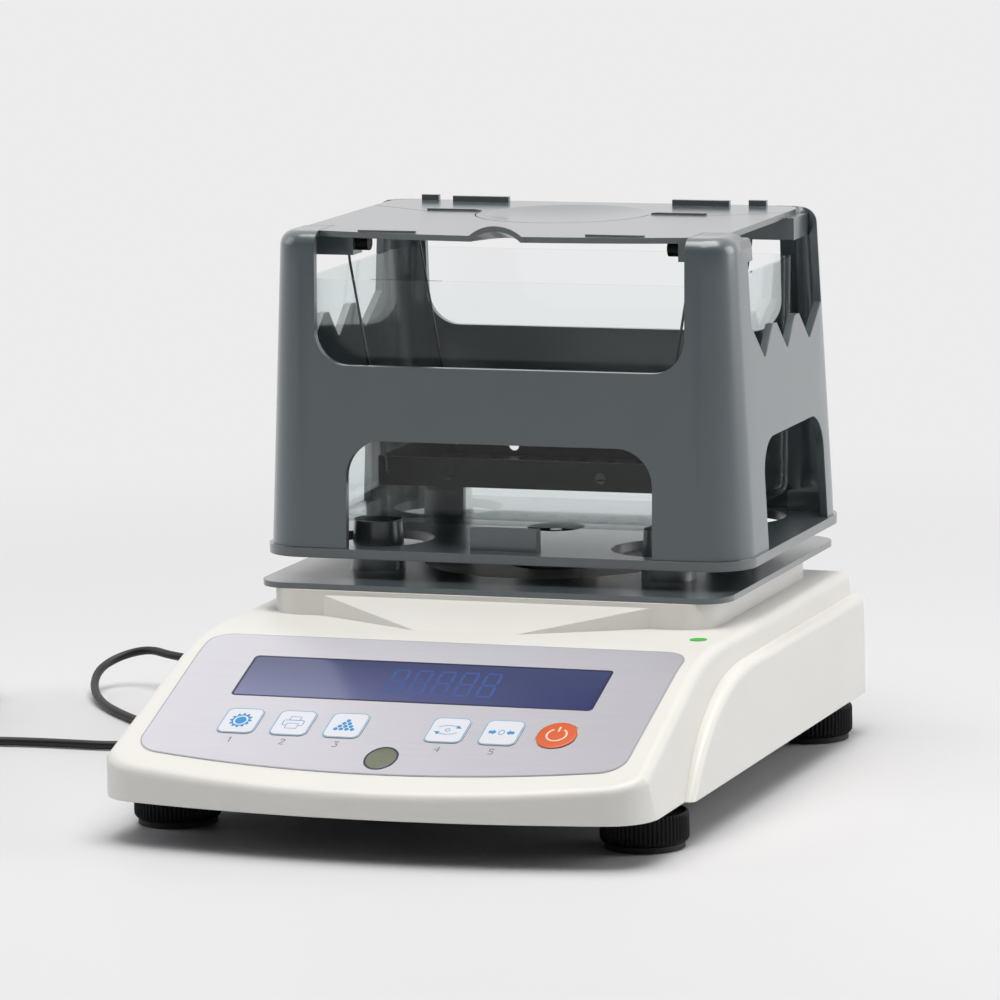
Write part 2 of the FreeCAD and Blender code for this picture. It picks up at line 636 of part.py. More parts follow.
# ---------------------------------------------------------------- housing

def body_solid(label, inset):
    """The body's whole volume, with its panel, deck and walls moved inwards by inset."""
    panel_low = f"lip_top + ({inset}) * tan(panel_slope) - ({inset}) / cos(panel_slope)"
    rise = f"(deck_top - ({inset}) - lip_top + ({inset}) / cos(panel_slope))"
    crease = f"{rise} / tan(panel_slope) - base_front"
    profile = prism(label + "_profile", "YZ", [
        (f"({inset}) - base_front", "base_bottom"), (f"base_rear - ({inset})", "base_bottom"),
        (f"base_rear - ({inset})", f"deck_top - ({inset})"), (crease, f"deck_top - ({inset})"),
        (f"({inset}) - base_front", panel_low),
    ], "-body_half", "body_half * 2")

    def at_crease(spot):
        return abs(spot.y - number(crease)) + abs(spot.z - number(f"deck_top - ({inset})")) < 0.1

    side_view = rounded(label + "_side_view", profile, at_crease, f"panel_blend - ({inset})")
    low_half = f"(body_half - ({inset}) / cos(body_lean))"
    high_half = f"({low_half} - (deck_top - base_bottom) * tan(body_lean))"
    front_view = prism(label + "_front_view", "XZ", [
        ("-" + low_half, "base_bottom"), (low_half, "base_bottom"),
        (high_half, "deck_top"), ("-" + high_half, "deck_top"),
    ], "-base_front", "base_front + base_rear")
    plan = bowed_slab(label + "_plan", f"body_half - ({inset})", f"({inset}) - base_front",
                      f"base_rear - ({inset})", f"front_bow - ({inset})", f"nose_corner - ({inset})",
                      f"rear_corner - ({inset})", "base_bottom", "deck_top - base_bottom")
    return common(label, side_view, front_view, plan)


def on_top_rim(spot):
    """True on the edge between the body's top and its walls."""
    top = min(number("deck_top"), number("lip_top") + (spot.y + number("base_front"))
              * math.tan(math.radians(number("panel_slope"))))
    sunk = number("panel_blend / cos(panel_slope / 2) - panel_blend + 0.5")
    across = abs(spot.x) < 1 and 1 - number("base_front") < spot.y < number("base_rear") - 1
    return abs(spot.z - top) < sunk and not across


def wings():
    """The bulging lower parts of the side walls, whose tops fall in an arc towards the front."""
    plan = slab("wing_plan", "XY", ("-wing_half", "wing_half"), ("-wing_bend - wing_radius", "base_rear"),
                "rear_corner", "base_bottom", "wing_top - base_bottom")
    high_half = "(wing_half - (wing_top - base_bottom) * tan(wing_lean))"
    front_view = prism("wing_front_view", "XZ", [
        ("-wing_half", "base_bottom"), ("wing_half", "base_bottom"),
        (high_half, "wing_top"), ("-" + high_half, "wing_top"),
    ], "-wing_bend - wing_radius", "base_rear + wing_bend + wing_radius")
    wheel = cylinder("wing_wheel", "wing_radius", ("-wing_bend", "wing_top - wing_radius"),
                     ("-wing_half", "wing_half"), "X")
    level = box("wing_level", ("-wing_half", "wing_half"), ("-wing_bend", "base_rear"),
                ("base_bottom", "wing_top"))
    side_view = fuse("wing_side_view", wheel, level)
    sharp = common("wing_sharp", plan, front_view, side_view)
    edge_x = number(high_half)

    def on_rim(spot):
        top = number("wing_top")
        drop = -number("wing_bend") - spot.y
        if drop > 0:
            top += math.sqrt(number("wing_radius") ** 2 - drop ** 2) - number("wing_radius")
        return abs(spot.z - top) < 0.5 and abs(spot.x) > edge_x - 1 and spot.z > number("base_bottom") + 1

    return rounded("wing_body", sharp, on_rim, "wing_edge")


def platform(label, inset, low):
    """The raised platform that carries the tray, or its hollow when inset is a wall."""
    return slab(label, "XY", (f"({inset}) - platform_half", f"platform_half - ({inset})"),
                (f"({inset}) - platform_front", f"platform_rear - ({inset})"),
                f"platform_corner - ({inset})", low, f"tray_bottom - ({inset}) - ({low})")


def ramp():
    """The wedge that rises from the deck to the platform, narrower at its foot."""
    back = "(ramp_depth - platform_front)"
    side_view = prism("ramp_side_view", "YZ", [
        ("-ramp_front", "deck_top - housing_wall"), (back, "deck_top - housing_wall"),
        (back, "tray_bottom"), ("-ramp_front", "deck_top"),
    ], "-ramp_top_half", "ramp_top_half * 2")
    plan = prism("ramp_plan", "XY", [
        ("-ramp_half", "-ramp_front"), ("ramp_half", "-ramp_front"),
        ("ramp_top_half", back), ("-ramp_top_half", back),
    ], "deck_top - housing_wall", "tray_bottom - deck_top + housing_wall")
    return common("ramp", side_view, plan)


def housing_posts(label, radius, low, high):
    """One upright cylinder at each place where the housing and its cover are screwed together."""
    posts = []
    for side, sign in SIDES:
        for end, y in (("front", "-post_front"), ("rear", "post_rear")):
            posts.append(cylinder(f"{label}_{end}_{side}", radius, (f"{sign} * post_x", y), (low, high)))
    return group(label, *posts)


def panel_bosses(label, radius, low, high):
    """One cylinder square to the panel at each corner of the panel board."""
    bosses = []
    for side, sign in SIDES:
        for end, along in (("low", "board_low + standoff_inset"), ("high", "board_high - standoff_inset")):
            spot = (f"{sign} * (board_half - standoff_inset)", along)
            bosses.append(cylinder(f"{label}_{end}_{side}", radius, spot, (low, high)))
    return on_panel(group(label, *bosses))


def window_slab(label, inset, low, high):
    return slab(label, "XY", (f"({inset}) - window_half", f"window_half - ({inset})"),
                (f"window_low + ({inset})", f"window_high - ({inset})"), "window_corner", low,
                f"({high}) - ({low})")


def key_slab(label, key_size, inset, low, high):
    """A key's outline, moved inwards by inset, as a slab square to the panel."""
    middle, half, reach, corner = key_size
    return slab(label, "XY", (f"{middle} - {half} + ({inset})", f"{middle} + {half} - ({inset})"),
                (f"key_row - {reach} + ({inset})", f"key_row + {reach} - ({inset})"),
                f"{corner} - ({inset})", low, f"({high}) - ({low})")


def level_slab(label, inset, low, high):
    half = f"(level_half - ({inset}))"
    return slab(label, "XY", (f"vial_x - {half}", f"vial_x + {half}"),
                (f"vial_row - level_reach + ({inset})", f"vial_row + level_reach - ({inset})"),
                f"{half} - 0.01", low, f"({high}) - ({low})")


SQUARE_KEY = ("key_half", "key_reach", "key_corner")
ROUND_KEY = ("power_half", "power_reach", "(power_half - seat_gap)")
KEYS = (
    ("key_setup", ("(-left_keys - key_pitch)", *SQUARE_KEY)),
    ("key_print", ("-left_keys", *SQUARE_KEY)),
    ("key_enter", ("(key_pitch - left_keys)", *SQUARE_KEY)),
    ("key_mode", ("(right_keys - key_pitch)", *SQUARE_KEY)),
    ("key_zero", ("right_keys", *SQUARE_KEY)),
    ("key_power", ("(right_keys + key_pitch + power_shift)", *ROUND_KEY)),
)
PILLARS = [(f"{end}_{side}", f"{x} * pillar_x", f"pan_y + {y} * pillar_y")
           for side, x in SIDES for end, y in ENDS]
FEET = [(f"{end}_{side}", f"{x} * foot_x", y)
        for side, x in SIDES for end, y in (("front", "-foot_front"), ("rear", "foot_rear"))]
BOARD_CORNERS = [(f"{end}_{side}", x, y)
                 for side, x in (("left", "standoff_inset - main_board_left"),
                                 ("right", "-main_board_right - standoff_inset"))
                 for end, y in (("front", "main_board_front + standoff_inset"),
                                ("rear", "main_board_rear - jack_depth - standoff_inset"))]
CELL_SCREWS = (("front", "cell_rear - cell_block * 3 / 4"), ("rear", "cell_rear - cell_block / 4"))


def upper_housing():
    shell = rounded("body_round", body_solid("body", "0"), on_top_rim, "body_edge")
    outside = fuse("housing_outside", shell, wings(), ramp(),
                   platform("platform", "0", "deck_top - housing_wall"))
    posts = housing_posts("posts", "post_radius", "cover_top", "deck_top")
    bosses = panel_bosses("bosses", "standoff_radius", "-board_depth", "0")
    hollow = cut("hollow", body_solid("inner_body", "housing_wall"), posts, bosses)
    openings = [
        hollow,
        platform("platform_hollow", "housing_wall", "deck_top - housing_wall * 2"),
        cylinder("carrier_way", "carrier_opening", ("0", "pan_y"), ("deck_top", "tray_bottom + 1")),
        housing_posts("post_bores", "screw_radius + thread_gap", "base_bottom",
                      "base_bottom + cover_thick + thread_depth"),
        panel_bosses("boss_bores", "board_screw + thread_gap", "-board_depth - 1", "-housing_wall"),
        on_panel(window_slab("display_way", "window_ledge", "-housing_wall * 2", "1")),
        on_panel(level_slab("level_way", "0", "-housing_wall * 2", "1")),
        cylinder("jack_way", "jack_nose + screw_gap", ("-jack_x", "jack_z"),
                 ("base_rear - housing_wall * 2", "base_rear + 1"), "Y"),
        box("port_way", ("-port_x - port_shell_half - screw_gap", "port_shell_half + screw_gap - port_x"),
            ("base_rear - housing_wall * 2", "base_rear + 1"),
            ("port_z - port_shell_height / 2 - screw_gap", "port_z + port_shell_height / 2 + screw_gap")),
    ]
    for side, sign in SIDES:
        openings.append(cylinder(f"port_screw_way_{side}", "port_stud + screw_gap",
                                 (f"{sign} * port_screw_x - port_x", "port_z"),
                                 ("base_rear - housing_wall * 2", "base_rear + 1"), "Y"))
    for name, x, y in PILLARS:
        openings.append(cylinder(f"tray_screw_way_{name}", "screw_radius + screw_gap", (x, y),
                                 ("deck_top", "tray_bottom + 1")))
    wells = [key_slab(f"{name}_well", key_size, "key_stem - key_well_gap", "-housing_wall * 2", "1")
             for name, key_size in KEYS]
    openings.append(on_panel(group("key_wells", *wells)))
    return cut("upper_housing", outside, *openings)


def bottom_cover():
    edge = "(housing_wall + cover_gap)"
    plate = bowed_slab("cover_plate", f"body_half - {edge} / cos(body_lean) - cover_thick * tan(body_lean)",
                       f"{edge} - base_front", f"base_rear - {edge}", f"front_bow - {edge}",
                       f"nose_corner - {edge}", f"rear_corner - {edge}", "base_bottom", "cover_thick")
    solids = [plate]
    ways = []
    top = "cover_top"
    for name, x, y in FEET:
        solids.append(cylinder(f"foot_boss_{name}", "insert_radius + boss_wall", (x, y),
                               (top, "insert_top")))
        ways.append(cylinder(f"insert_way_{name}", "insert_radius + seat_gap", (x, y),
                             ("base_bottom - 1", "insert_top + 1")))
    for name, x, y in BOARD_CORNERS:
        solids.append(cylinder(f"board_post_{name}", "standoff_radius", (x, y), (top, "main_board_height")))
        ways.append(cylinder(f"board_bore_{name}", "board_screw + thread_gap", (x, y),
                             (top, "main_board_height + 1")))
    solids.append(cylinder("vial_cup", "vial_radius + holder_wall", ("vial_x", "vial_y"),
                           (top, "vial_top - vial_height / 2")))
    ways.append(cylinder("vial_way", "vial_radius + thread_gap", ("vial_x", "vial_y"),
                         ("vial_top - vial_height", "vial_top")))
    ways.append(housing_posts("cover_screw_ways", "screw_radius + screw_gap", "base_bottom - 1",
                              top + " + 1"))
    for name, y in CELL_SCREWS:
        ways.append(cylinder(f"cell_way_{name}", "cell_screw + screw_gap", ("0", y),
                             ("base_bottom - 1", top + " + 1")))
    return cut("bottom_cover", fuse("cover_solid", *solids), *ways)


def housing_screws():
    """Pan-head screws through the bottom cover into the housing's posts."""
    heads = housing_posts("screw_heads", "screw_head", "base_bottom - screw_head_height", "base_bottom")
    shanks = housing_posts("screw_shanks", "screw_radius", "base_bottom",
                           "cover_top + thread_depth - screw_gap")
    screws = []
    for head, shank in zip(heads.Links, shanks.Links):
        screws.append(fuse(head.Name + "_screw", head, shank))
    return group("housing_screws", *screws)


# ---------------------------------------------------------------- control panel

def panel_layer():
    """A skin as thick as the overlay, lying on the panel and the bend above it."""
    return cut("panel_layer", body_solid("raised_body", "-overlay_thick"), body_solid("bare_body", "0"))


def control_overlay(layer):
    outline = bowed_slab("overlay_outline", "overlay_half", "overlay_low", "overlay_high", "overlay_bow",
                         "overlay_corner", "overlay_top_corner", "-housing_wall", "housing_wall * 3")
    sheet_piece = common("overlay_sheet", on_panel(outline), layer)
    ways = [window_slab("window_way", "0", "-housing_wall", "housing_wall * 2"),
            level_slab("level_overlay_way", "0", "-housing_wall", "housing_wall * 2")]
    for name, key_size in KEYS:
        ways.append(key_slab(f"{name}_way", key_size, "-overlay_gap", "-housing_wall", "housing_wall * 2"))
    return cut("control_overlay", sheet_piece, on_panel(group("overlay_ways", *ways)))


def display_window(layer):
    pane = on_panel(window_slab("pane_outline", "overlay_gap", "-housing_wall", "housing_wall * 2"))
    return common("display_window", pane, layer)


def key(name, key_size):
    """A key cap above the panel on a stem that passes into the housing."""
    cap = key_slab(f"{name}_cap", key_size, "0", "key_low", "key_high")
    stem = key_slab(f"{name}_stem", key_size, "key_stem", "-key_stem_depth", "key_low")
    return on_panel(fuse(name, cap, stem))


def lcd_module():
    inset = "(window_ledge + display_gap)"
    body = box("lcd_body", (f"{inset} - window_half", f"window_half - {inset}"),
               (f"window_low + {inset}", f"window_high - {inset}"), ("-board_depth", "-display_drop"))
    return on_panel(group("lcd_module", body))


def panel_board():
    plate = box("panel_plate", ("-board_half", "board_half"), ("board_low", "board_high"),
                ("-board_depth - board_thick", "-board_depth"))
    board = on_panel(group("panel_plate_group", plate))
    return cut("panel_board", board, panel_bosses("panel_board_ways", "board_screw + screw_gap",
                                                  "-board_depth * 2", "0"))


def panel_board_screws():
    low = "-board_depth - board_thick"
    heads = panel_bosses("panel_screw_heads", "board_screw_head", f"{low} - board_screw_height", low)
    shanks = panel_bosses("panel_screw_shanks", "board_screw", low, "-housing_wall - screw_gap")
    return fuse("panel_board_screws", heads, shanks)


def key_switches():
    switches = []
    for name, (middle, *_) in KEYS:
        switches.append(box(f"{name}_switch", (f"{middle} - switch_half", f"{middle} + switch_half"),
                            ("key_row - switch_half", "key_row + switch_half"),
                            ("-board_depth", "-key_stem_depth - switch_gap")))
    return on_panel(group("key_switches", *switches))


# ---------------------------------------------------------------- inside the base

def main_board():
    plate = box("main_plate", ("-main_board_left", "-main_board_right"),
                ("main_board_front", "main_board_rear"),
                ("main_board_height", "main_board_height + board_thick"))
    ways = [cylinder(f"main_way_{name}", "board_screw + screw_gap", (x, y),
                     ("main_board_height - 1", "main_board_height + board_thick + 1"))
            for name, x, y in BOARD_CORNERS]
    return cut("main_board", plate, *ways)


def main_board_screws():
    seat = "main_board_height + board_thick"
    screws = []
    for name, x, y in BOARD_CORNERS:
        head = cylinder(f"main_screw_head_{name}", "board_screw_head", (x, y),
                        (seat, f"{seat} + board_screw_height"))
        shank = cylinder(f"main_screw_shank_{name}", "board_screw", (x, y), ("cover_top + screw_gap", seat))
        screws.append(fuse(f"main_screw_{name}", head, shank))
    return group("main_board_screws", *screws)


def power_jack():
    """A barrel socket: its body stands on the main board and its nose fills the rear wall's hole."""
    body = box("jack_body", ("-jack_x - jack_half", "jack_half - jack_x"),
               ("rear_inside - jack_depth", "rear_inside"),
               ("jack_z - jack_height / 2", "jack_z + jack_height / 2"))
    nose = cylinder("jack_nose_piece", "jack_nose", ("-jack_x", "jack_z"),
                    ("rear_inside", "base_rear"), "Y")
    bore = cylinder("jack_bore_way", "jack_bore", ("-jack_x", "jack_z"),
                    ("base_rear - jack_bore_depth", "base_rear + 1"), "Y")
    pin = cylinder("jack_pin_piece", "jack_pin", ("-jack_x", "jack_z"),
                   ("base_rear - jack_bore_depth - 1", "base_rear - 1"), "Y")
    return fuse("power_jack", cut("jack_shell", fuse("jack_solid", body, nose), bore), pin)


def serial_port():
    body = box("port_body", ("-port_x - port_half", "port_half - port_x"),
               ("rear_inside - port_depth", "rear_inside"),
               ("port_z - port_height / 2", "port_z + port_height / 2"))
    shell = box("port_shell", ("-port_x - port_shell_half", "port_shell_half - port_x"),
                ("rear_inside", "base_rear + port_standout"),
                ("port_z - port_shell_height / 2", "port_z + port_shell_height / 2"))
    rim = "port_shell_wall"
    hollow = box("port_hollow", (f"-port_x - port_shell_half + {rim}", f"port_shell_half - port_x - {rim}"),
                 ("base_rear", "base_rear + port_standout + 1"),
                 (f"port_z - port_shell_height / 2 + {rim}", f"port_z + port_shell_height / 2 - {rim}"))
    ways = [hollow]
    for side, sign in SIDES:
        ways.append(cylinder(f"port_stud_way_{side}", "port_shank + thread_gap",
                             (f"{sign} * port_screw_x - port_x", "port_z"),
                             ("rear_inside - port_depth / 2", "rear_inside + 1"), "Y"))
    return cut("serial_port", fuse("port_solid", body, shell), *ways)


def port_standoffs():
    """The two threaded studs beside the data port, screwed into its body through the rear wall."""
    studs = []
    for side, sign in SIDES:
        spot = (f"{sign} * port_screw_x - port_x", "port_z")
        collar = cylinder(f"stud_collar_{side}", "port_stud", spot,
                          ("rear_inside", "base_rear + port_stud_length"), "Y")
        shank = cylinder(f"stud_shank_{side}", "port_shank", spot,
                         ("rear_inside - port_depth / 2 + screw_gap", "rear_inside"), "Y")
        end = "base_rear + port_stud_length"
        thread = cylinder(f"stud_thread_{side}", "port_screw", spot,
                          (f"{end} - port_thread", f"{end} + 1"), "Y")
        studs.append(cut(f"stud_{side}", fuse(f"stud_solid_{side}", collar, shank), thread))
    return group("port_standoffs", *studs)


def load_cell():
    """A bending beam: two joined bores leave thin flexures above and below."""
    beam = box("beam", ("-cell_half", "cell_half"), ("cell_front", "cell_rear"), ("cell_bottom", "cell_top"))
    middle_y = "(cell_front + cell_rear) / 2"
    middle_z = "cell_bottom + cell_height / 2"
    across = ("-cell_half - 1", "cell_half + 1")
    front_y = f"{middle_y} - cell_bore_pitch / 2"
    rear_y = f"{middle_y} + cell_bore_pitch / 2"
    bores = [cylinder("front_bore", "cell_bore", (front_y, middle_z), across, "X"),
             cylinder("rear_bore", "cell_bore", (rear_y, middle_z), across, "X"),
             box("bore_slot", across, (front_y, rear_y),
                 (f"{middle_z} - cell_bore / 2", f"{middle_z} + cell_bore / 2"))]
    for name, y in CELL_SCREWS:
        bores.append(cylinder(f"beam_thread_{name}", "cell_screw + thread_gap", ("0", y),
                              ("cell_bottom - 1", "cell_bottom + cell_screw_reach")))
    return cut("load_cell", beam, *bores)


def load_cell_block():
    block = box("block", ("-cell_half", "cell_half"), ("cell_rear - cell_block", "cell_rear"),
                ("cover_top", "cell_bottom"))
    ways = [cylinder(f"block_way_{name}", "cell_screw + screw_gap", ("0", y),
                     ("cover_top - 1", "cell_bottom + 1"))
            for name, y in CELL_SCREWS]
    return cut("load_cell_block", block, *ways)


def load_cell_screws():
    screws = []
    for name, y in CELL_SCREWS:
        head = cylinder(f"cell_head_{name}", "cell_screw_head", ("0", y),
                        ("base_bottom - screw_head_height", "base_bottom"))
        shank = cylinder(f"cell_shank_{name}", "cell_screw", ("0", y),
                         ("base_bottom", "cell_bottom + cell_screw_reach - screw_gap"))
        screws.append(fuse(f"cell_screw_{name}", head, shank))
    return group("load_cell_screws", *screws)


def pan_carrier():
    """The arm on the load cell's free end, with the post that carries the weighing frame."""
    low = "(cell_top + weigh_sag + weigh_gap)"
    arm = box("carrier_arm", ("-cell_half", "cell_half"), ("cell_front", "pan_y + cell_half"),
              (low, f"{low} + carrier_plate"))
    post = cylinder("carrier_post_piece", "carrier_post", ("0", "pan_y"), (low, "hub_bottom"))
    bore = cylinder("carrier_thread", "cell_screw + thread_gap", ("0", "pan_y"),
                    ("hub_bottom - centre_screw_reach", "hub_bottom + 1"))
    return cut("pan_carrier", fuse("carrier_solid", arm, post), bore)


def level_vial():
    return cylinder("level_vial", "vial_radius", ("vial_x", "vial_y"), ("vial_top - vial_height", "vial_top"))


def inspection_dot():
    return cylinder("inspection_dot", "dot_radius", ("dot_x", "-dot_front"),
                    ("deck_top", "deck_top + dot_thick"))


def foot_inserts():
    inserts = []
    for name, x, y in FEET:
        sleeve = cylinder(f"sleeve_{name}", "insert_radius", (x, y), ("base_bottom", "insert_top"))
        bore = cylinder(f"sleeve_bore_{name}", "stud_radius + thread_gap", (x, y),
                        ("base_bottom - 1", "insert_top + 1"))
        inserts.append(cut(f"insert_{name}", sleeve, bore))
    return group("foot_inserts", *inserts)


def foot_pad(name, x, y):
    """The rubber pad, with the stem on which the knob turns."""
    disc = cylinder(f"pad_disc_{name}", "pad_radius", (x, y), ("0", "pad_thick"))
    stem = cylinder(f"pad_stem_{name}", "pad_stem", (x, y), ("pad_thick", "pad_stem_top"))
    return fuse(f"foot_pad_{name}", disc, stem)


def foot_knob(name, x, y):
    """The knurled knob, moulded round its threaded stud."""
    rim = cylinder(f"knob_rim_{name}", "foot_radius", (x, y), ("pad_thick + foot_gap", "foot_top"))
    neck = cylinder(f"knob_neck_{name}", "foot_neck", (x, y), ("foot_top", "foot_neck_top"))
    stud = cylinder(f"knob_stud_{name}", "stud_radius", (x, y), ("foot_neck_top", "stud_top"))
    bore = cylinder(f"knob_bore_{name}", "pad_stem + foot_gap", (x, y),
                    ("pad_thick", "pad_stem_top + foot_gap"))
    return cut(f"foot_knob_{name}", fuse(f"knob_solid_{name}", rim, neck, stud), bore)


# ---------------------------------------------------------------- tray and tank

def support_tray():
    """The tray on the platform, with the four pillars that carry the tank."""
    top = "(tray_bottom + tray_thick)"
    plate = slab("tray_plate", "XY", ("-tray_half", "tray_half"), ("-tray_front", "tray_rear"), "tray_corner",
                 "tray_bottom", "tray_thick")
    pillars = [cone(f"pillar_{name}", "pillar_foot", "pillar_head", (x, y), (top, "tank_bottom"))
               for name, x, y in PILLARS]
    ways = [cylinder("tray_way", "tray_hole", ("0", "tray_hole_y"), ("tray_bottom - 1", f"{top} + 1"))]
    for name, x, y in PILLARS:
        ways.append(cylinder(f"pillar_bore_{name}", "screw_radius + thread_gap", (x, y),
                             ("tray_bottom - 1", "tray_bottom + tray_screw_reach")))
    return cut("support_tray", fuse("tray_solid", plate, *pillars), *ways)


def tray_screws():
    """Screws from inside the platform, up into the tray's pillars."""
    seat = "tray_bottom - housing_wall"
    screws = []
    for name, x, y in PILLARS:
        head = cylinder(f"tray_head_{name}", "screw_head", (x, y), (f"{seat} - screw_head_height", seat))
        shank = cylinder(f"tray_shank_{name}", "screw_radius", (x, y),
                         (seat, "tray_bottom + tray_screw_reach - screw_gap"))
        screws.append(fuse(f"tray_screw_{name}", head, shank))
    return group("tray_screws", *screws)


def immersion_tank():
    def block(label, inset, low):
        return slab(label, "XY", (f"{inset} - tank_half", f"tank_half - {inset}"),
                    (f"pan_y - tank_depth_half + {inset}", f"pan_y + tank_depth_half - {inset}"),
                    f"tank_corner - {inset}", low, f"tank_top - ({low})", "-tank_lean")

    def on_floor(height):
        return lambda spot: abs(spot.z - height) < 0.01

    outside = rounded("tank_outside", block("tank_block", "0", "tank_bottom"),
                      on_floor(number("tank_bottom")), "tank_edge")
    inside = rounded("tank_inside", block("tank_hollow", "tank_wall", "tank_bottom + tank_wall"),
                     on_floor(number("tank_bottom + tank_wall")), "tank_edge - tank_wall")
    return cut("immersion_tank", outside, inside)


# ---------------------------------------------------------------- weighing frame

def frame_block(label, inset, top):
    """The frame's tapering block, or its hollow when inset is the wall."""
    return slab(label, "XY", (f"{inset} - frame_half", f"frame_half - {inset}"),
                (f"pan_y - frame_depth_half + {inset}", f"pan_y + frame_depth_half - {inset}"),
                f"frame_corner - {inset}", "floor_top", f"{top} - floor_top", "frame_lean")


def domed_block(label):
    """The frame's outer block with its upper edges rounded."""
    top = number("frame_top")
    return rounded(label, frame_block(f"{label}_square", "0", "frame_top"),
                   lambda spot: abs(spot.z - top) < 0.01, "frame_edge")


def side_gate():
    """The upper side opening, with three notches that steady a hook or a thread."""
    above = "frame_top + gate_corner"
    last = "(notch_first + notch_pitch * 2)"
    points = [("side_gate_front", above),
              ("side_gate_front", f"notch_bottom + (notch_first - side_gate_front) * {GATE_FRONT_RISE}")]
    for i in range(3):
        middle = f"(notch_first + notch_pitch * {i})"
        if i > 0:
            points.append((f"{middle} - notch_half", "notch_top"))
        points.append((f"{middle} - notch_tip", "notch_bottom"))
        points.append((f"{middle} + notch_tip", "notch_bottom"))
        if i < 2:
            points.append((f"{middle} + notch_half", "notch_top"))
    points.append(("side_gate_rear", f"notch_bottom + (side_gate_rear - {last}) * {GATE_REAR_RISE}"))
    points.append(("side_gate_rear", above))
    return prism("side_gate", "YZ", points, "-frame_half - 1", "frame_half * 2 + 2")


def plate_outline(label, grow, low, high):
    """The two top plates together, notched round the front posts and grown by a clearance."""
    sheet_piece = bowed_slab(f"{label}_sheet", f"plate_half + {grow}", f"plate_front - {grow}",
                             f"plate_rear + {grow}", f"plate_bow + {grow}", f"plate_corner + {grow}",
                             f"plate_corner + {grow}", low, f"({high}) - ({low})")
    posts = []
    for side, sign in SIDES:
        posts.append(box(f"{label}_post_{side}", mirrored(sign, f"gate_half + {grow}", "frame_half"),
                         ("0", f"side_gate_front - {grow}"), (f"{low} - 1", f"{high} + 1")))
    return cut(label, sheet_piece, *posts)


def frame_walls():
    """The four leaning walls with their openings."""
    through_y = ("pan_y - frame_depth_half - 1", "frame_depth_half * 2 + 2")
    through_x = ("-frame_half - 1", "frame_half * 2 + 2")
    low = ("floor_top - arch_corner * 2", "arch_top")
    high = ("gate_sill", "frame_top + gate_corner * 2")
    return cut("frame_walls", domed_block("frame_outside"),
               frame_block("frame_inside", "frame_wall", "plate_bottom"),
               slab("front_gate", "XZ", ("-gate_half", "gate_half"), high, "gate_corner", *through_y),
               slab("front_arch", "XZ", ("-arch_half", "arch_half"), low, "arch_corner", *through_y),
               slab("side_arch", "YZ", ("side_front", "side_rear"), low, "arch_corner", *through_x),
               side_gate())


def frame_lugs():
    """The lugs that hold the wires, the arms that carry the rear ones and the rear gussets."""
    height = ("lug_bottom", "plate_bottom")
    front_lug = ("pan_y - wire_y - lug_half", "pan_y - wire_y + lug_half")
    rear_lug = ("pan_y + wire_y - lug_half", "pan_y + wire_y + lug_half")
    rear_wall = "pan_y + frame_depth_half"
    blocks = []
    for side, sign in SIDES:
        far = mirrored(sign, "lug_inner", "frame_half")
        near = mirrored(sign, "lug_inner", "lug_reach")
        arm = mirrored(sign, "lug_arm", "lug_reach")
        corner = mirrored(sign, "gusset_inner", "frame_half")
        blocks += [
            box(f"front_lug_{side}", far, front_lug, height),
            box(f"rear_lug_{side}", near, rear_lug, height),
            box(f"rear_arm_{side}", arm, ("pan_y + wire_y", rear_wall), height),
            box(f"gusset_{side}", corner, ("gusset_front", rear_wall), ("floor_top", "gusset_top")),
        ]
    return common("frame_lugs", fuse("frame_blocks", *blocks), domed_block("frame_limit"))


def wire_ways():
    """The holes for the wires and for the clamp knobs' shanks, and the seat of the top plates."""
    ways = [plate_outline("plate_way", "plate_gap", "plate_bottom", "frame_top + 1")]
    for side, sign in SIDES:
        for end, sense in ENDS:
            y = f"pan_y + {sense} * wire_y"
            ways.append(cylinder(f"wire_way_{end}_{side}", "wire_radius + wire_gap",
                                 (f"{sign} * wire_x", y), ("lug_bottom - 1", "plate_bottom + 1")))
            ways.append(cylinder(f"clamp_way_{end}_{side}", "clamp_shank + screw_gap", (y, "clamp_z"),
                                 mirrored(sign, "lug_inner - 1", "wire_x"), "X"))
    return ways


def frame_floor(holes):
    """The frame's floor with its hub, its front tab and its openings for the tank's pillars."""
    reach = "(frame_half + flange_ledge)"
    deep = "(frame_depth_half + flange_ledge)"
    plate = slab("floor_plate", "XY", ("-" + reach, reach), (f"pan_y - {deep}", f"pan_y + {deep}"),
                 "flange_corner", "floor_bottom", "floor_top - floor_bottom")
    hub = cylinder("frame_hub", "hub_radius", ("0", "pan_y"), ("hub_bottom", "floor_top"))
    tab = box("front_tab", ("-tab_half", "tab_half"), ("tab_front", "tab_front + tab_thick"),
              ("floor_top", "tab_top"))
    recess = cylinder("hub_way", "hub_recess", ("0", "pan_y"), ("hub_floor", "floor_top + 1"))
    bore = cylinder("hub_bore", "cell_screw + screw_gap", ("0", "pan_y"), ("hub_bottom - 1", "floor_top + 1"))
    return cut("weighing_frame_floor", fuse("floor_solid", plate, hub, tab), recess, bore, *holes)


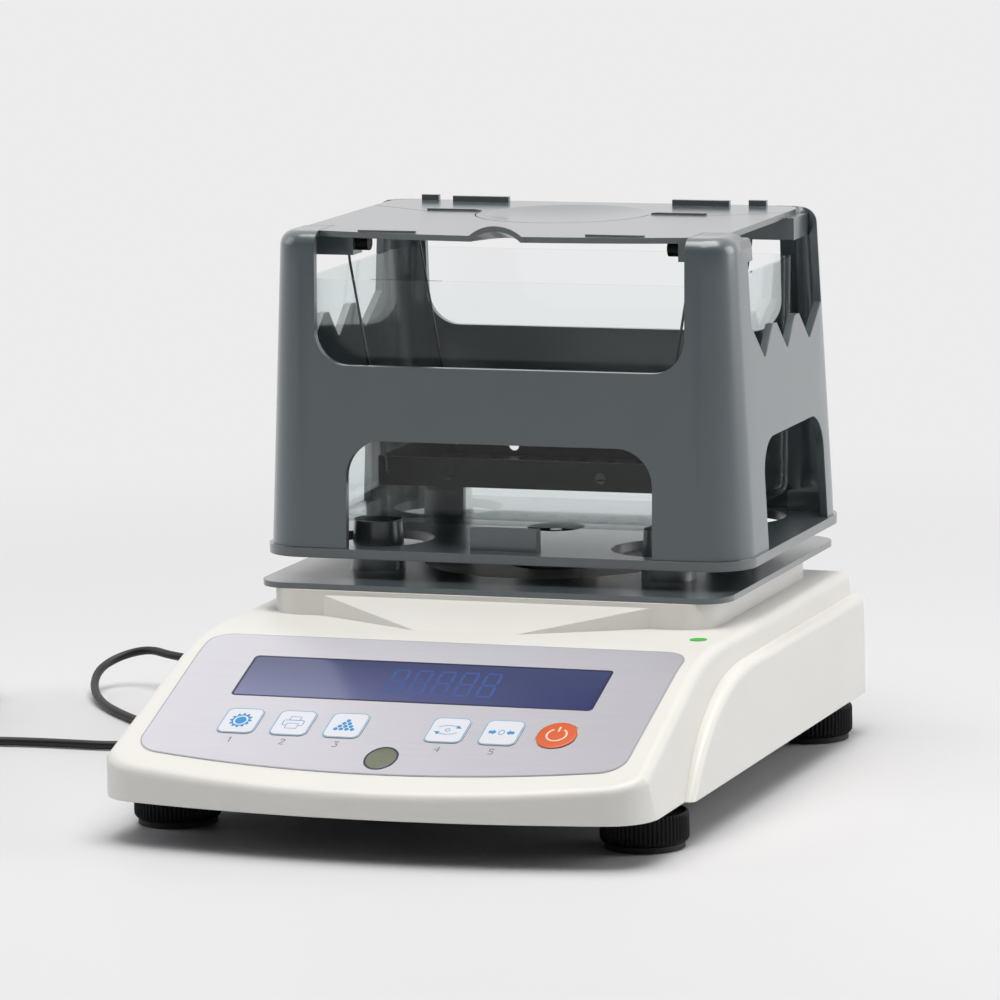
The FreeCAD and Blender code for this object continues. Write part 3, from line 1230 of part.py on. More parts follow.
def frame_nodes():
    """The weighing frame as its floor, its front and rear walls with their corners, and its sides."""
    holes = []
    for name, x, y in PILLARS:
        holes.append(cylinder(f"floor_way_{name}", "floor_hole", (x, y),
                              ("floor_bottom - 1", "floor_top + 1")))
    shell = cut("frame_shell", fuse("shell_solid", frame_walls(), frame_lugs()), *wire_ways(), *holes)
    wide = ("-frame_half - 1", "frame_half + 1")
    low = "floor_bottom"
    high = "frame_top + 1"
    before = "pan_y - frame_depth_half - 1"
    beyond = "pan_y + frame_depth_half + 1"
    front_seam = "pan_y - frame_depth_half + frame_corner"
    rear_seam = "pan_y + frame_depth_half - frame_corner"
    front_zone = box("front_zone", wide, (before, front_seam), (low, high))
    rear_zone = fuse("rear_zone", box("rear_wall_zone", wide, (rear_seam, beyond), (low, high)),
                     box("rear_lug_zone", wide, ("pan_y + wire_y - lug_half", beyond), ("lug_bottom", high)))
    middle = cut("frame_middle", shell, front_zone, rear_zone)
    pieces = {"floor": frame_floor(holes), "front": common("frame_front_wall", shell, front_zone),
              "rear": common("frame_rear_wall", shell, rear_zone)}
    for side, sign in SIDES:
        half = box(f"{side}_zone", mirrored(sign, "0", "frame_half + 1"), (before, beyond), (low, high))
        pieces[side] = common(f"frame_{side}_wall", middle, half)
    return pieces


def centre_screw():
    """The flanged screw that holds the frame on its post."""
    seat = "hub_floor + centre_screw_seat"
    flange = cylinder("centre_flange", "centre_screw_flange", ("0", "pan_y"), ("hub_floor", seat))
    head = cylinder("centre_head", "centre_screw_head", ("0", "pan_y"), (seat, "centre_screw_top"))
    shank = cylinder("centre_shank", "cell_screw", ("0", "pan_y"),
                     ("hub_bottom - centre_screw_reach + screw_gap", "hub_floor"))
    return fuse("centre_screw", flange, head, shank)


def wire_clamps():
    """The small knobs that hold the wires in their lugs."""
    clamps = []
    for side, sign in SIDES:
        knob_x = mirrored(sign, "lug_inner - clamp_length", "lug_inner")
        shank_x = mirrored(sign, "lug_inner", "wire_x - wire_radius - wire_gap")
        for end, sense in ENDS:
            spot = (f"pan_y + {sense} * wire_y", "clamp_z")
            clamps.append(fuse(f"clamp_{end}_{side}",
                               cylinder(f"clamp_knob_{end}_{side}", "clamp_radius", spot, knob_x, "X"),
                               cylinder(f"clamp_shank_{end}_{side}", "clamp_shank", spot, shank_x, "X")))
    return group("wire_clamp_screws", *clamps)


def rear_region(label, gap):
    """What lies behind the seam: a bay with slanted ends and the round dish."""
    ends = f"seam_side_y - {gap}"
    middle = f"seam_y - {gap}"
    bay = prism(label + "_bay", "XY", [
        ("-plate_half", ends), ("-seam_knee", middle), ("seam_knee", middle), ("plate_half", ends),
        ("plate_half * 2", ends), ("plate_half * 2", "plate_rear * 2"),
        ("-plate_half * 2", "plate_rear * 2"), ("-plate_half * 2", ends),
    ], "dish_bottom", "frame_top - dish_bottom")
    disc = cylinder(label + "_disc", f"dish_radius + {gap}", ("0", "dish_y"), ("dish_bottom", "frame_top"))
    return fuse(label, bay, disc)


def rib(label, span, y, kind):
    """A low rib or bar on a top plate; kind names its thickness and height."""
    return box(label, span, (f"{y} - {kind}_thick / 2", f"{y} + {kind}_thick / 2"),
               ("frame_top", f"frame_top + {kind}_height"))


def front_plate():
    """The loose front plate, with a finger hood in the middle of its front edge."""
    ribs = []
    for side, sign in SIDES:
        span = mirrored(sign, "rib_inner", "rib_outer")
        ribs.append(rib(f"front_rib_{side}", span, "front_rib_y", "rib"))
    radius = "((hood_half * hood_half + hood_height * hood_height) / hood_height / 2)"
    spot = ("0", f"plate_bottom + hood_height - {radius}")
    span = ("plate_front", "plate_front + hood_depth")
    dome = cone("hood_dome", radius, f"{radius} - hood_height", spot, span, "Y")
    above = box("hood_room", ("-hood_half * 2", "hood_half * 2"), span,
                ("plate_bottom", "frame_top + hood_height"))
    hood = common("hood", dome, above)
    hollow = cone("hood_hollow", f"{radius} - hood_wall", f"{radius} - hood_height - hood_wall", spot,
                  span, "Y")
    mouth = box("hood_mouth", ("-hood_half * 2", "hood_half * 2"), ("plate_front - 1", "plate_front"),
                ("plate_bottom - 1", "frame_top + hood_height"))
    sheet_piece = plate_outline("front_outline", "0", "plate_bottom", "frame_top")
    whole = fuse("front_plate_solid", sheet_piece, hood, *ribs)
    return cut("front_plate", whole, rear_region("front_seam", "seam_gap"), hollow, mouth)


def rear_plate():
    """The loose rear plate, with the shallow sample dish and the bars that locate a sample."""
    outline = plate_outline("rear_outline", "0", "dish_bottom", "frame_top")
    region = common("rear_piece", outline, rear_region("rear_seam", "0"))
    under = box("under_plate", ("-plate_half", "plate_half"), ("-plate_rear", "plate_rear * 2"),
                ("dish_bottom - 1", "plate_bottom"))
    keep = cylinder("dish_keep", "dish_radius", ("0", "dish_y"), ("dish_bottom - 1", "plate_bottom"))
    thin = cut("rear_thin", region, cut("under_room", under, keep))
    ribs = []
    for side, sign in SIDES:
        long_span = mirrored(sign, "rib_inner", "rib_outer")
        ribs += [rib(f"middle_rib_{side}", mirrored(sign, "rib_inner + 1", "rib_outer"), "middle_rib_y",
                     "rib"),
                 rib(f"rear_bar_{side}", long_span, "bar_y", "bar"),
                 rib(f"stop_bar_{side}", mirrored(sign, "stop_inner", "stop_outer"), "stop_y", "bar")]
    ball = "((dish_hollow * dish_hollow + dish_depth * dish_depth) / dish_depth / 2)"
    sphere = doc.addObject("Part::Sphere", "dish_ball")
    bind(sphere, {"Radius": ball})
    place(sphere, "0", "dish_y", f"frame_top - dish_depth + {ball}")
    return cut("rear_plate", fuse("rear_solid", thin, *ribs), sphere)


# ---------------------------------------------------------------- basket and wires

def wire_route(side, sense):
    """Corners of one hanging wire, from its top end to its hook."""
    y = number(f"pan_y + {sense} * wire_y")
    top, bend, hook = number("wire_top"), number("wire_bend"), number("hook_z")
    wide, narrow = side * number("wire_x"), side * number("hook_x")
    hook_end = y + number("hook_reach + basket_wall + wire_radius * 2")
    return [Vector(wide, y, top), Vector(wide, y, bend), Vector(narrow, y, hook + 2 * number("hook_reach")),
            Vector(narrow, y, hook), Vector(narrow, hook_end, hook)]


def basket():
    """The perforated tray that hangs in the water."""
    wall_y = ("pan_y - wire_y + hook_reach - basket_wall / 2",
              "pan_y + wire_y + hook_reach + basket_wall / 2")
    outside = box("basket_block", ("-basket_half", "basket_half"), wall_y, ("basket_bottom", "basket_top"))
    inside = box("basket_hollow", ("basket_wall - basket_half", "basket_half - basket_wall"),
                 (f"{wall_y[0]} + basket_wall", f"{wall_y[1]} - basket_wall"),
                 ("basket_bottom + basket_wall", "basket_top + 1"))
    tray = cut("basket_tray", outside, inside)
    holes = []
    for column in range(round(number("floor_columns"))):
        for row_number in range(round(number("floor_rows"))):
            x = f"({column} - (floor_columns - 1) / 2) * perforation_pitch"
            y = f"pan_y + hook_reach + ({row_number} - (floor_rows - 1) / 2) * perforation_pitch"
            holes.append(cylinder(f"floor_hole_{column}_{row_number}", "perforation", (x, y),
                                  ("basket_bottom - 1", "basket_bottom + basket_wall + 1")))
    through = (f"{wall_y[0]} - 1", f"{wall_y[1]} + 1")
    for side, sign in SIDES:
        holes.append(cylinder(f"hook_hole_{side}", "wire_radius + hook_gap", (f"{sign} * hook_x", "hook_z"),
                              through, "Y"))
        holes.append(cylinder(f"wall_hole_{side}", "perforation", (f"{sign} * wall_hole_x", "hook_z"),
                              through, "Y"))
    return cut("basket", tray, *holes)


# ---------------------------------------------------------------- tubes

def tube_path(points, share):
    """Straight runs joined by tangent arcs; share of the shorter run goes to each side of a bend."""
    edges = []
    radii = []
    start = points[0]
    for before, corner, after in zip(points, points[1:], points[2:]):
        back = (before - corner).normalize()
        ahead = (after - corner).normalize()
        reach = share * min((before - corner).Length, (after - corner).Length)
        half_turn = (math.pi - back.getAngle(ahead)) / 2
        radius = reach / math.tan(half_turn)
        inwards = (back + ahead).normalize()
        first = corner + back * reach
        middle = corner + inwards * (radius / math.cos(half_turn) - radius)
        last = corner + ahead * reach
        edges.append(Part.LineSegment(start, first).toShape())
        edges.append(Part.Arc(first, middle, last).toShape())
        radii.append(radius)
        start = last
    edges.append(Part.LineSegment(start, points[-1]).toShape())
    return Part.Wire(edges), radii


def tube(points, radius, share):
    """A round tube along a path."""
    path, radii = tube_path(points, share)
    profile = Part.Wire([Part.makeCircle(radius, points[0], points[1] - points[0])])
    solid = path.makePipeShell([profile], True, False)
    length = solid.Volume / (math.pi * radius ** 2)
    return solid, radii, path.Length, length


def hanging_wires(label, sense):
    """The two wires at one end of the basket."""
    wires = []
    for side in (-1, 1):
        wires.append(tube(wire_route(side, sense), number("wire_radius"), WIRE_BEND_SHARE)[0])
    item = doc.addObject("Part::Feature", label)
    item.Shape = Part.Compound(wires)
    return item


# ---------------------------------------------------------------- supply lead

def dc_plug():
    """The angled plug in the power jack; its lead leaves towards the left."""
    gap = "base_rear + plug_gap"
    body = box("plug_body", ("-jack_x - plug_half", "plug_half - jack_x"), (gap, f"{gap} + plug_half * 2"),
               ("jack_z - plug_low", "jack_z + plug_half"))
    barrel = cylinder("plug_barrel_piece", "plug_barrel", ("-jack_x", "jack_z"),
                      (f"{gap} - plug_barrel_length", gap), "Y")
    bore = cylinder("plug_bore", "jack_pin + screw_gap", ("-jack_x", "jack_z"),
                    (f"{gap} - plug_barrel_length - 1", gap), "Y")
    relief = cylinder("plug_relief", "relief_radius", (f"{gap} + plug_half", "jack_z"),
                      ("-jack_x - plug_half - relief_length", "-jack_x - plug_half"), "X")
    return cut("dc_plug", fuse("plug_solid", body, barrel, relief), bore)


def cord_points():
    start = Vector(-number("jack_x + plug_half + relief_length"), number("base_rear + plug_gap + plug_half"),
                   number("jack_z"))
    coil_edge = Vector(COIL_CENTRE[0] + number("coil_turn + coil_width / 2"), COIL_CENTRE[1],
                       number("cord_radius"))
    return [start] + [Vector(*point) for point in CORD_ROUTE] + [coil_edge]


def power_cord():
    solid, radii, length, swept = tube(cord_points(), number("cord_radius"), CORD_BEND_SHARE)
    item = doc.addObject("Part::Feature", "power_cord")
    item.Shape = solid
    print("cord bends", [round(bend, 1) for bend in radii])
    print("cord length", round(length, 1), "by volume", round(swept, 1))
    return item


def power_cord_coil():
    spot = (str(COIL_CENTRE[0]), str(COIL_CENTRE[1]))
    ring = cylinder("coil_ring", "coil_turn + coil_width / 2", spot, ("0", "coil_height"))
    eye = cylinder("coil_eye", "coil_turn - coil_width / 2", spot, ("-1", "coil_height + 1"))
    return cut("power_cord_coil", ring, eye)


def mains_adapter():
    """The mains adapter beside the coil, lying on its side with its prongs to the rear."""
    near = f"{COIL_CENTRE[1]} + coil_turn + coil_width / 2 + coil_gap"
    far = f"({near} + adapter_length)"
    across = (f"{ADAPTER_X} - adapter_width / 2", f"{ADAPTER_X} + adapter_width / 2")
    case = slab("adapter_case", "XY", across, (near, far), "adapter_corner", "0", "adapter_height")
    prongs = []
    for side, sign in SIDES:
        spot = (f"{ADAPTER_X} + {sign} * prong_pitch / 2", "adapter_height / 2")
        prongs.append(cylinder(f"prong_{side}", "prong_radius", spot, (far, f"{far} + prong_length"), "Y"))
    return fuse("mains_adapter", case, *prongs)


# ---------------------------------------------------------------- assembly

LAYER = panel_layer()
node("upper_housing", upper_housing())
node("bottom_cover", bottom_cover())
node("housing_screws", housing_screws())
node("foot_inserts", foot_inserts())
node("control_overlay", control_overlay(LAYER))
node("display_window", display_window(LAYER))
node("lcd_module", lcd_module())
node("panel_board", panel_board())
node("panel_board_screws", panel_board_screws())
node("key_switches", key_switches())
node("main_board", main_board())
node("main_board_screws", main_board_screws())
node("level_vial", level_vial())
node("inspection_dot", inspection_dot())
node("power_jack", power_jack())
node("serial_port", serial_port())
node("port_standoffs", port_standoffs())
node("load_cell", load_cell())
node("load_cell_block", load_cell_block())
node("load_cell_screws", load_cell_screws())
node("support_tray", support_tray())
node("tray_screws", tray_screws())
node("immersion_tank", immersion_tank())
for place_name, wall in frame_nodes().items():
    node(f"weighing_frame_{place_name}", wall)
node("pan_carrier", pan_carrier())
node("centre_screw", centre_screw())
node("wire_clamp_screws", wire_clamps())
node("front_plate", front_plate())
node("rear_plate", rear_plate())
node("basket", basket())
node("front_wires", hanging_wires("front_wires", -1))
node("rear_wires", hanging_wires("rear_wires", 1))
for key_name, key_size in KEYS:
    node(key_name, key(key_name, key_size))
for foot_name, foot_x, foot_y in FEET:
    node(f"foot_pad_{foot_name}", foot_pad(foot_name, foot_x, foot_y))
    node(f"foot_knob_{foot_name}", foot_knob(foot_name, foot_x, foot_y))
node("dc_plug", dc_plug())
node("power_cord", power_cord())
node("power_cord_coil", power_cord_coil())
node("mains_adapter", mains_adapter())

doc.recompute()
for item in doc.Objects:
    if "Invalid" in item.State or "Error" in item.State:
        raise RuntimeError(f"{item.Label} failed")
for item in nodes:
    if item.Shape.isNull() or not item.Shape.isValid():
        raise RuntimeError(f"{item.Label} has no valid shape")

os.makedirs("parts", exist_ok=True)
for item in nodes:
    item.Shape.exportStep(f"parts/{item.Label}.step")
    print(item.Label, len(item.Shape.Solids), round(item.Shape.Volume))
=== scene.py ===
"""Looks of the benchtop density meter, in metres and in the CAD model's frame.

+X is the right-hand side seen from the control panel, -Y the front, +Z up, and z = 0 the table.
Places on the control panel are given as across (along X), up the slope from the front lip, and out
of the panel, all in millimetres, and turned into the frame by panel_points().
"""
import bmesh
import bpy
import math
import numpy as np
from mathutils import Matrix, Vector


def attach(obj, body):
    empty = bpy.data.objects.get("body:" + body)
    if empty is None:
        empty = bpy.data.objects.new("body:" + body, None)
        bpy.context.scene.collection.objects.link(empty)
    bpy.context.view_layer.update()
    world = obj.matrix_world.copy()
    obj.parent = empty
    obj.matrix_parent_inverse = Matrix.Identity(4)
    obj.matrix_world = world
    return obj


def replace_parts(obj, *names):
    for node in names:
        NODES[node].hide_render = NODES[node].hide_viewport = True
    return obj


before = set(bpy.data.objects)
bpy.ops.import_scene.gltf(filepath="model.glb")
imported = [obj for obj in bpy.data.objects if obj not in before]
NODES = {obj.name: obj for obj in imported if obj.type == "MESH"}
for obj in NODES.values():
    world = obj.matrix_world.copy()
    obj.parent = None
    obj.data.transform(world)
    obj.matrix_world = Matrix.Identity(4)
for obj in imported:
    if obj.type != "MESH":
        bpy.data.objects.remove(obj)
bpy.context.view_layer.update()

MM = 0.001
TURN = 2.0 * math.pi

# ---------------------------------------------------------------- dimensions, in millimetres

PANEL_SLOPE = math.radians(20.25)
PANEL_FRONT = (0.0, -148.3, 25.2)
OVERLAY_TOP = 0.4
OVERLAY_HALF = 92.4
OVERLAY_LOW = 13.1
OVERLAY_HIGH = 109.9
OVERLAY_BOW = 430.0
OVERLAY_CORNER = 11.0
OVERLAY_TOP_CORNER = 9.0
WINDOW_HALF = 69.2
WINDOW_LOW = 62.6
WINDOW_HIGH = 91.2
KEY_HALF = 7.2
KEY_REACH = 8.5
KEY_CORNER = 3.0
KEY_TOP = 0.8
CAP_TOP = 0.9
KEY_ROW = 44.6
KEYS = {"key_setup": -58.6, "key_print": -38.3, "key_enter": -18.0,
        "key_mode": 20.7, "key_zero": 41.0, "key_power": 61.7}
VIAL_ACROSS = 2.2
VIAL_ROW = 23.9
LEVEL_HALF = 5.9
LEVEL_REACH = 7.5
PANEL_BLEND = 112.0
BLEND_START = 87.4
KEY_STRETCH = KEY_REACH / KEY_HALF
# height of printing over its film, that of the faint display bars, and the depth of its root
INK = 0.03
SEGMENT_INK = 0.01
SINK = 0.02
DIGITS = 5
DIGIT_LEFT = -12.0
DIGIT_PITCH = 8.8
DIGIT_WIDTH = 5.4
DIGIT_LOW = 69.0
DIGIT_RISE = 8.0

FOOT_PLACES = {"front_left": (-89.5, -93.0), "rear_left": (-89.5, 118.5),
               "front_right": (89.5, -93.0), "rear_right": (89.5, 118.5)}

CORD_DIAMETER = 3.4
CORD_START = (-97.2, 146.5, 31.1)
CORD_ROUTE = [
    (-124, 146, 29), (-150, 145, 22), (-174, 147, 14), (-192, 153.5, 14.3), (-203.9, 161.9, 15),
    (-214.7, 160.9, 12.7), (-221.3, 152, 9.2), (-219.5, 138.5, 5.9), (-212.5, 122.5, 3.2),
    (-202, 107, 1.9), (-190, 93, 1.7), (-175.3, 78, 1.7), (-159, 63, 1.7), (-149.5, 48, 1.7),
    (-153, 34, 1.7), (-167, 28, 1.7), (-188, 28.5, 1.7), (-208, 27.5, 1.7),
]
CORD_TO_COIL = (-221.5, 24.8, 1.7)
COIL_CENTRE = (-252.0, 28.0)
COIL_POINTS = 12
COIL_STEP = 3.8
COIL_LOW = 1.7
COIL_OUTER = 23.3
COIL_LAYERS = 4
COIL_FIRST = math.radians(-35.0)
LAYER_TURNS = 2.26
RISE_TURNS = 0.45
RELIEF_X = -275.1
CORD_FROM_COIL = (RELIEF_X, 40.0, 14.2)
ADAPTER_MOUTH = (-275.0, 52.8, 15.0)
CORD_INSIDE = (-275.0, 80.0, 15.0)
ADAPTER_HALF_WIDTH = 22.0
ADAPTER_HALF_HEIGHT = 15.0
PIN_SPACING = 19.0
BARREL_X = -70.0

FRAME_SIDES = ("floor", "front", "rear", "left", "right")
# corners of the frame's walls that are nearer than this are one corner
WELD = 0.002

# ---------------------------------------------------------------- meshes


def panel_points(points):
    """Turn (across, up the slope, out of the panel) into the frame: a turn about X, then a shift.

    Past BLEND_START the panel falls away in an arc of radius PANEL_BLEND, and the points with it.
    """
    across, up, out = np.moveaxis(np.asarray(points, float), -1, 0)
    past = np.maximum(up - BLEND_START, 0.0)
    out = out - (PANEL_BLEND - np.sqrt(PANEL_BLEND ** 2 - past ** 2))
    y = PANEL_FRONT[1] + up * math.cos(PANEL_SLOPE) - out * math.sin(PANEL_SLOPE)
    z = PANEL_FRONT[2] + up * math.sin(PANEL_SLOPE) + out * math.cos(PANEL_SLOPE)
    return np.stack([across, y, z], axis=-1)


def skin(points, closed=False):
    """Faces over a grid of points: rows run along the piece and columns run around it.

    The last column joins the first. If the piece is closed its last row joins the first too, and
    otherwise each end gets a cap.
    """
    rows, columns = points.shape[:2]
    index = np.arange(rows * columns).reshape(rows, columns)
    index = np.concatenate([index, index[:, :1]], axis=1)
    if closed:
        index = np.concatenate([index, index[:1]], axis=0)
    quads = np.stack([index[:-1, :-1], index[:-1, 1:], index[1:, 1:], index[1:, :-1]], axis=-1)
    faces = quads.reshape(-1, 4).tolist()
    if not closed:
        faces.append(index[0, :-1][::-1].tolist())
        faces.append(index[-1, :-1].tolist())
    return points.reshape(-1, 3), faces


def joined(shapes):
    """Several (points, faces) shapes as one."""
    points = []
    faces = []
    count = 0
    for some_points, some_faces in shapes:
        points.append(some_points)
        faces += [[count + corner for corner in face] for face in some_faces]
        count += len(some_points)
    return np.concatenate(points), faces


def volume(points, faces):
    """Signed volume inside a closed shape: a sixth of the sum of the triple products of its triangles."""
    triangles = np.array([(face[0], face[i], face[i + 1])
                          for face in faces for i in range(1, len(face) - 1)])
    a, b, c = points[triangles[:, 0]], points[triangles[:, 1]], points[triangles[:, 2]]
    return float(np.sum(a * np.cross(b, c)) / 6.0)


def solid(shape):
    """The shape with its faces turned outwards."""
    points, faces = shape
    if volume(points - points.mean(0), faces) < 0:
        faces = [face[::-1] for face in faces]
    return points, faces


def new_object(name, data):
    """An object with its data, linked into the scene."""
    made = bpy.data.objects.new(name, data)
    bpy.context.scene.collection.objects.link(made)
    return made


def piece(name, shape, body, finish, smooth_angle=35.0):
    """A mesh object from a shape in millimetres, smooth where its faces meet at less than an angle."""
    points, faces = shape
    mesh = bpy.data.meshes.new(name)
    mesh.from_pydata((points * MM).tolist(), [], faces)
    mesh.update()
    mesh.shade_smooth()
    mesh.set_sharp_from_angle(angle=math.radians(smooth_angle))
    mesh.materials.append(finish)
    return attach(new_object(name, mesh), body)


def slab(outline, low, high):
    """An outline of (across, up) points raised on the panel from one height to another."""
    outline = np.array(outline, float)
    rings = [np.column_stack([outline, np.full(len(outline), height)]) for height in (low, high)]
    return solid(skin(panel_points(np.stack(rings))))


def ellipse(across, up, half_across, half_up, steps=48):
    """Points of an ellipse on the panel."""
    turn = np.linspace(0.0, TURN, steps, endpoint=False)
    return np.column_stack([across + half_across * np.cos(turn), up + half_up * np.sin(turn)])


def rounded_outline(low, high, radius):
    """A rectangle from its lower left to its upper right point, with a quarter circle at each corner."""
    points = []
    for x, y, first in ((low[0], low[1], 180), (high[0], low[1], 270), (high[0], high[1], 0),
                        (low[0], high[1], 90)):
        turn = np.radians(first + np.linspace(0.0, 90.0, 8))
        middle_x = x + radius * (1 if x == low[0] else -1)
        middle_y = y + radius * (1 if y == low[1] else -1)
        points.append(np.column_stack([middle_x + radius * np.cos(turn), middle_y + radius * np.sin(turn)]))
    return np.concatenate(points)


def stroke(path, width, low, high, closed=False):
    """A flat line along a path on the panel: a rectangle carried along it, square to its direction."""
    path = np.array(path, float)
    if closed:
        step = np.roll(path, -1, axis=0) - np.roll(path, 1, axis=0)
    else:
        step = np.gradient(path, axis=0)
    step /= np.linalg.norm(step, axis=1)[:, None]
    side = np.column_stack([-step[:, 1], step[:, 0]]) * width / 2.0
    corners = []
    for sense, height in ((-1, low), (1, low), (1, high), (-1, high)):
        corners.append(np.column_stack([path + sense * side, np.full(len(path), height)]))
    return solid(skin(panel_points(np.stack(corners, axis=1)), closed))


def bowed_outline(half, low, high, bow, low_corner, high_corner):
    """The overlay's outline: straight sides and top, a bowed lower edge and four round corners.

    A lower corner's circle touches the bow from inside, so their middles are bow - low_corner apart.
    """
    middle = low + bow
    corner_y = middle - math.sqrt((bow - low_corner) ** 2 - (half - low_corner) ** 2)
    swing = math.atan2(half - low_corner, middle - corner_y)
    runs = []
    for centre, radius, first, last in (
            ((0.0, middle), bow, -swing, swing),
            ((half - low_corner, corner_y), low_corner, swing, TURN / 4),
            ((half - high_corner, high - high_corner), high_corner, TURN / 4, TURN / 2),
            ((high_corner - half, high - high_corner), high_corner, TURN / 2, TURN * 3 / 4),
            ((low_corner - half, corner_y), low_corner, TURN * 3 / 4, TURN - swing)):
        turn = np.linspace(first, last, 32 if radius == bow else 8)
        runs.append(np.column_stack([centre[0] + radius * np.sin(turn), centre[1] - radius * np.cos(turn)]))
    return np.concatenate(runs)


def denser(outline, spacing):
    """The same closed outline with points at most a spacing apart, so that it follows the bent panel."""
    runs = []
    for start, end in zip(outline, np.roll(outline, -1, axis=0)):
        count = max(1, math.ceil(np.linalg.norm(end - start) / spacing))
        share = np.linspace(0.0, 1.0, count, endpoint=False)[:, None]
        runs.append(start + (end - start) * share)
    return np.concatenate(runs)


def loft(sections):
    """A closed skin over cross-sections with as many points each, capped at both ends."""
    return solid(skin(np.stack(sections)))


def turned_along_y(x, stations, steps=24):
    """A closed skin over circles that stand square to Y: (y, height of the middle, radius) for each."""
    turn = np.linspace(0.0, TURN, steps, endpoint=False)
    return loft([np.column_stack([x + radius * np.cos(turn), np.full(steps, y), z + radius * np.sin(turn)])
                 for y, z, radius in stations])


def squared_ring(half_first, half_second, power, steps=48):
    """A superellipse |a/A|^p + |b/B|^p = 1: round at a power of 2, squarer above it."""
    turn = np.linspace(0.0, TURN, steps, endpoint=False)
    cos, sin = np.cos(turn), np.sin(turn)
    first = half_first * np.sign(cos) * np.abs(cos) ** (2.0 / power)
    second = half_second * np.sign(sin) * np.abs(sin) ** (2.0 / power)
    return first, second


# ---------------------------------------------------------------- finishes


def linear(colour):
    """An sRGB hex colour as linear red, green, blue and alpha."""
    parts = [int(colour[i:i + 2], 16) / 255.0 for i in (1, 3, 5)]
    return tuple(c / 12.92 if c <= 0.04045 else ((c + 0.055) / 1.055) ** 2.4 for c in parts) + (1.0,)


def per_metre(size):
    """A texture scale that gives features of a size in millimetres."""
    return 1.0 / (size * MM)


def add(tree, kind, inputs=None, **settings):
    """Add a node. An input gets a value, a hex colour, or a socket or node to link from.

    A node is linked from the first of its outputs that is in use.
    """
    made = tree.nodes.new(kind)
    for name, value in settings.items():
        setattr(made, name, value)
    for name, value in (inputs or {}).items():
        if isinstance(value, str):
            value = linear(value)
        if isinstance(value, bpy.types.Node):
            value = next(socket for socket in value.outputs if socket.enabled)
        if isinstance(value, bpy.types.NodeSocket):
            tree.links.new(value, made.inputs[name])
        else:
            made.inputs[name].default_value = value
    return made


def new_finish(name):
    """An empty material, its node tree and the place of each point on the piece."""
    made = bpy.data.materials.new(name)
    made.use_nodes = True
    made.node_tree.nodes.clear()
    place = add(made.node_tree, "ShaderNodeTexCoord").outputs["Object"]
    return made, made.node_tree, place


def moulded(name, light, dark, roughness, grain, relief, edge=0.0, coat=0.0, ior=1.53):
    """Injection-moulded plastic: a spark-eroded grain in the mould, and clouds where it cooled unevenly.

    grain is the grain's size, relief its depth and edge the rounding of the mould's edges, in mm.
    """
    cloud_size = 35.0
    swing = 0.06
    made, tree, place = new_finish(name)
    cloud = add(tree, "ShaderNodeTexNoise", {"Vector": place, "Scale": per_metre(cloud_size), "Detail": 2.0})
    fine = add(tree, "ShaderNodeTexNoise", {"Vector": place, "Scale": per_metre(grain), "Detail": 2.0})
    bump = add(tree, "ShaderNodeBump", {"Height": fine, "Distance": relief * MM, "Strength": 0.6})
    if edge:
        soft = add(tree, "ShaderNodeBevel", {"Radius": edge * MM}, samples=4)
        tree.links.new(soft.outputs["Normal"], bump.inputs["Normal"])
    colour = add(tree, "ShaderNodeMix", {"Factor": cloud, "A": dark, "B": light}, data_type="RGBA")
    gloss = add(tree, "ShaderNodeMapRange", {
        "Value": fine, "To Min": roughness - swing, "To Max": roughness + swing})
    shader = add(tree, "ShaderNodeBsdfPrincipled", {
        "Base Color": colour, "Roughness": gloss, "Normal": bump, "IOR": ior,
        "Coat Weight": coat, "Coat Roughness": 0.22})
    add(tree, "ShaderNodeOutputMaterial", {"Surface": shader})
    return made


def overlay_film():
    """Screen-printed polyester film, silver-lilac ink under a matt hard coat: soft sheen, fine streaks.

    Its colour is a little darker towards the right: painted shade.
    """
    streak_length = 27.778
    streak_width = 1.0417
    grain_size = 0.5
    relief = 0.01
    made, tree, place = new_finish("screen_printed_polyester")
    drawn_out = add(tree, "ShaderNodeMapping", {
        "Vector": place,
        "Scale": (per_metre(streak_length), per_metre(streak_width), per_metre(streak_width))})
    streak = add(tree, "ShaderNodeTexNoise", {"Vector": drawn_out, "Scale": 1.0})
    grain = add(tree, "ShaderNodeTexNoise", {"Vector": place, "Scale": per_metre(grain_size)})
    bump = add(tree, "ShaderNodeBump", {"Height": grain, "Distance": relief * MM})
    across = add(tree, "ShaderNodeSeparateXYZ", {"Vector": place})
    painted_shade_across = add(tree, "ShaderNodeMapRange", {
        "Value": across.outputs["X"], "From Min": -OVERLAY_HALF * MM, "From Max": OVERLAY_HALF * MM})
    # painted shade: the tones on the right are darker than those on the left
    left = add(tree, "ShaderNodeMix", {"Factor": streak, "A": "#D0CFD7", "B": "#D9D8DF"}, data_type="RGBA")
    right = add(tree, "ShaderNodeMix", {"Factor": streak, "A": "#B4B3BB", "B": "#BDBCC3"}, data_type="RGBA")
    colour = add(tree, "ShaderNodeMix", {"Factor": painted_shade_across, "A": left, "B": right}, data_type="RGBA")
    gloss = add(tree, "ShaderNodeMapRange", {"Value": grain, "To Min": 0.32, "To Max": 0.42})
    shader = add(tree, "ShaderNodeBsdfPrincipled", {
        "Base Color": colour, "Roughness": gloss, "Normal": bump, "Metallic": 0.1})
    add(tree, "ShaderNodeOutputMaterial", {"Surface": shader})
    return made


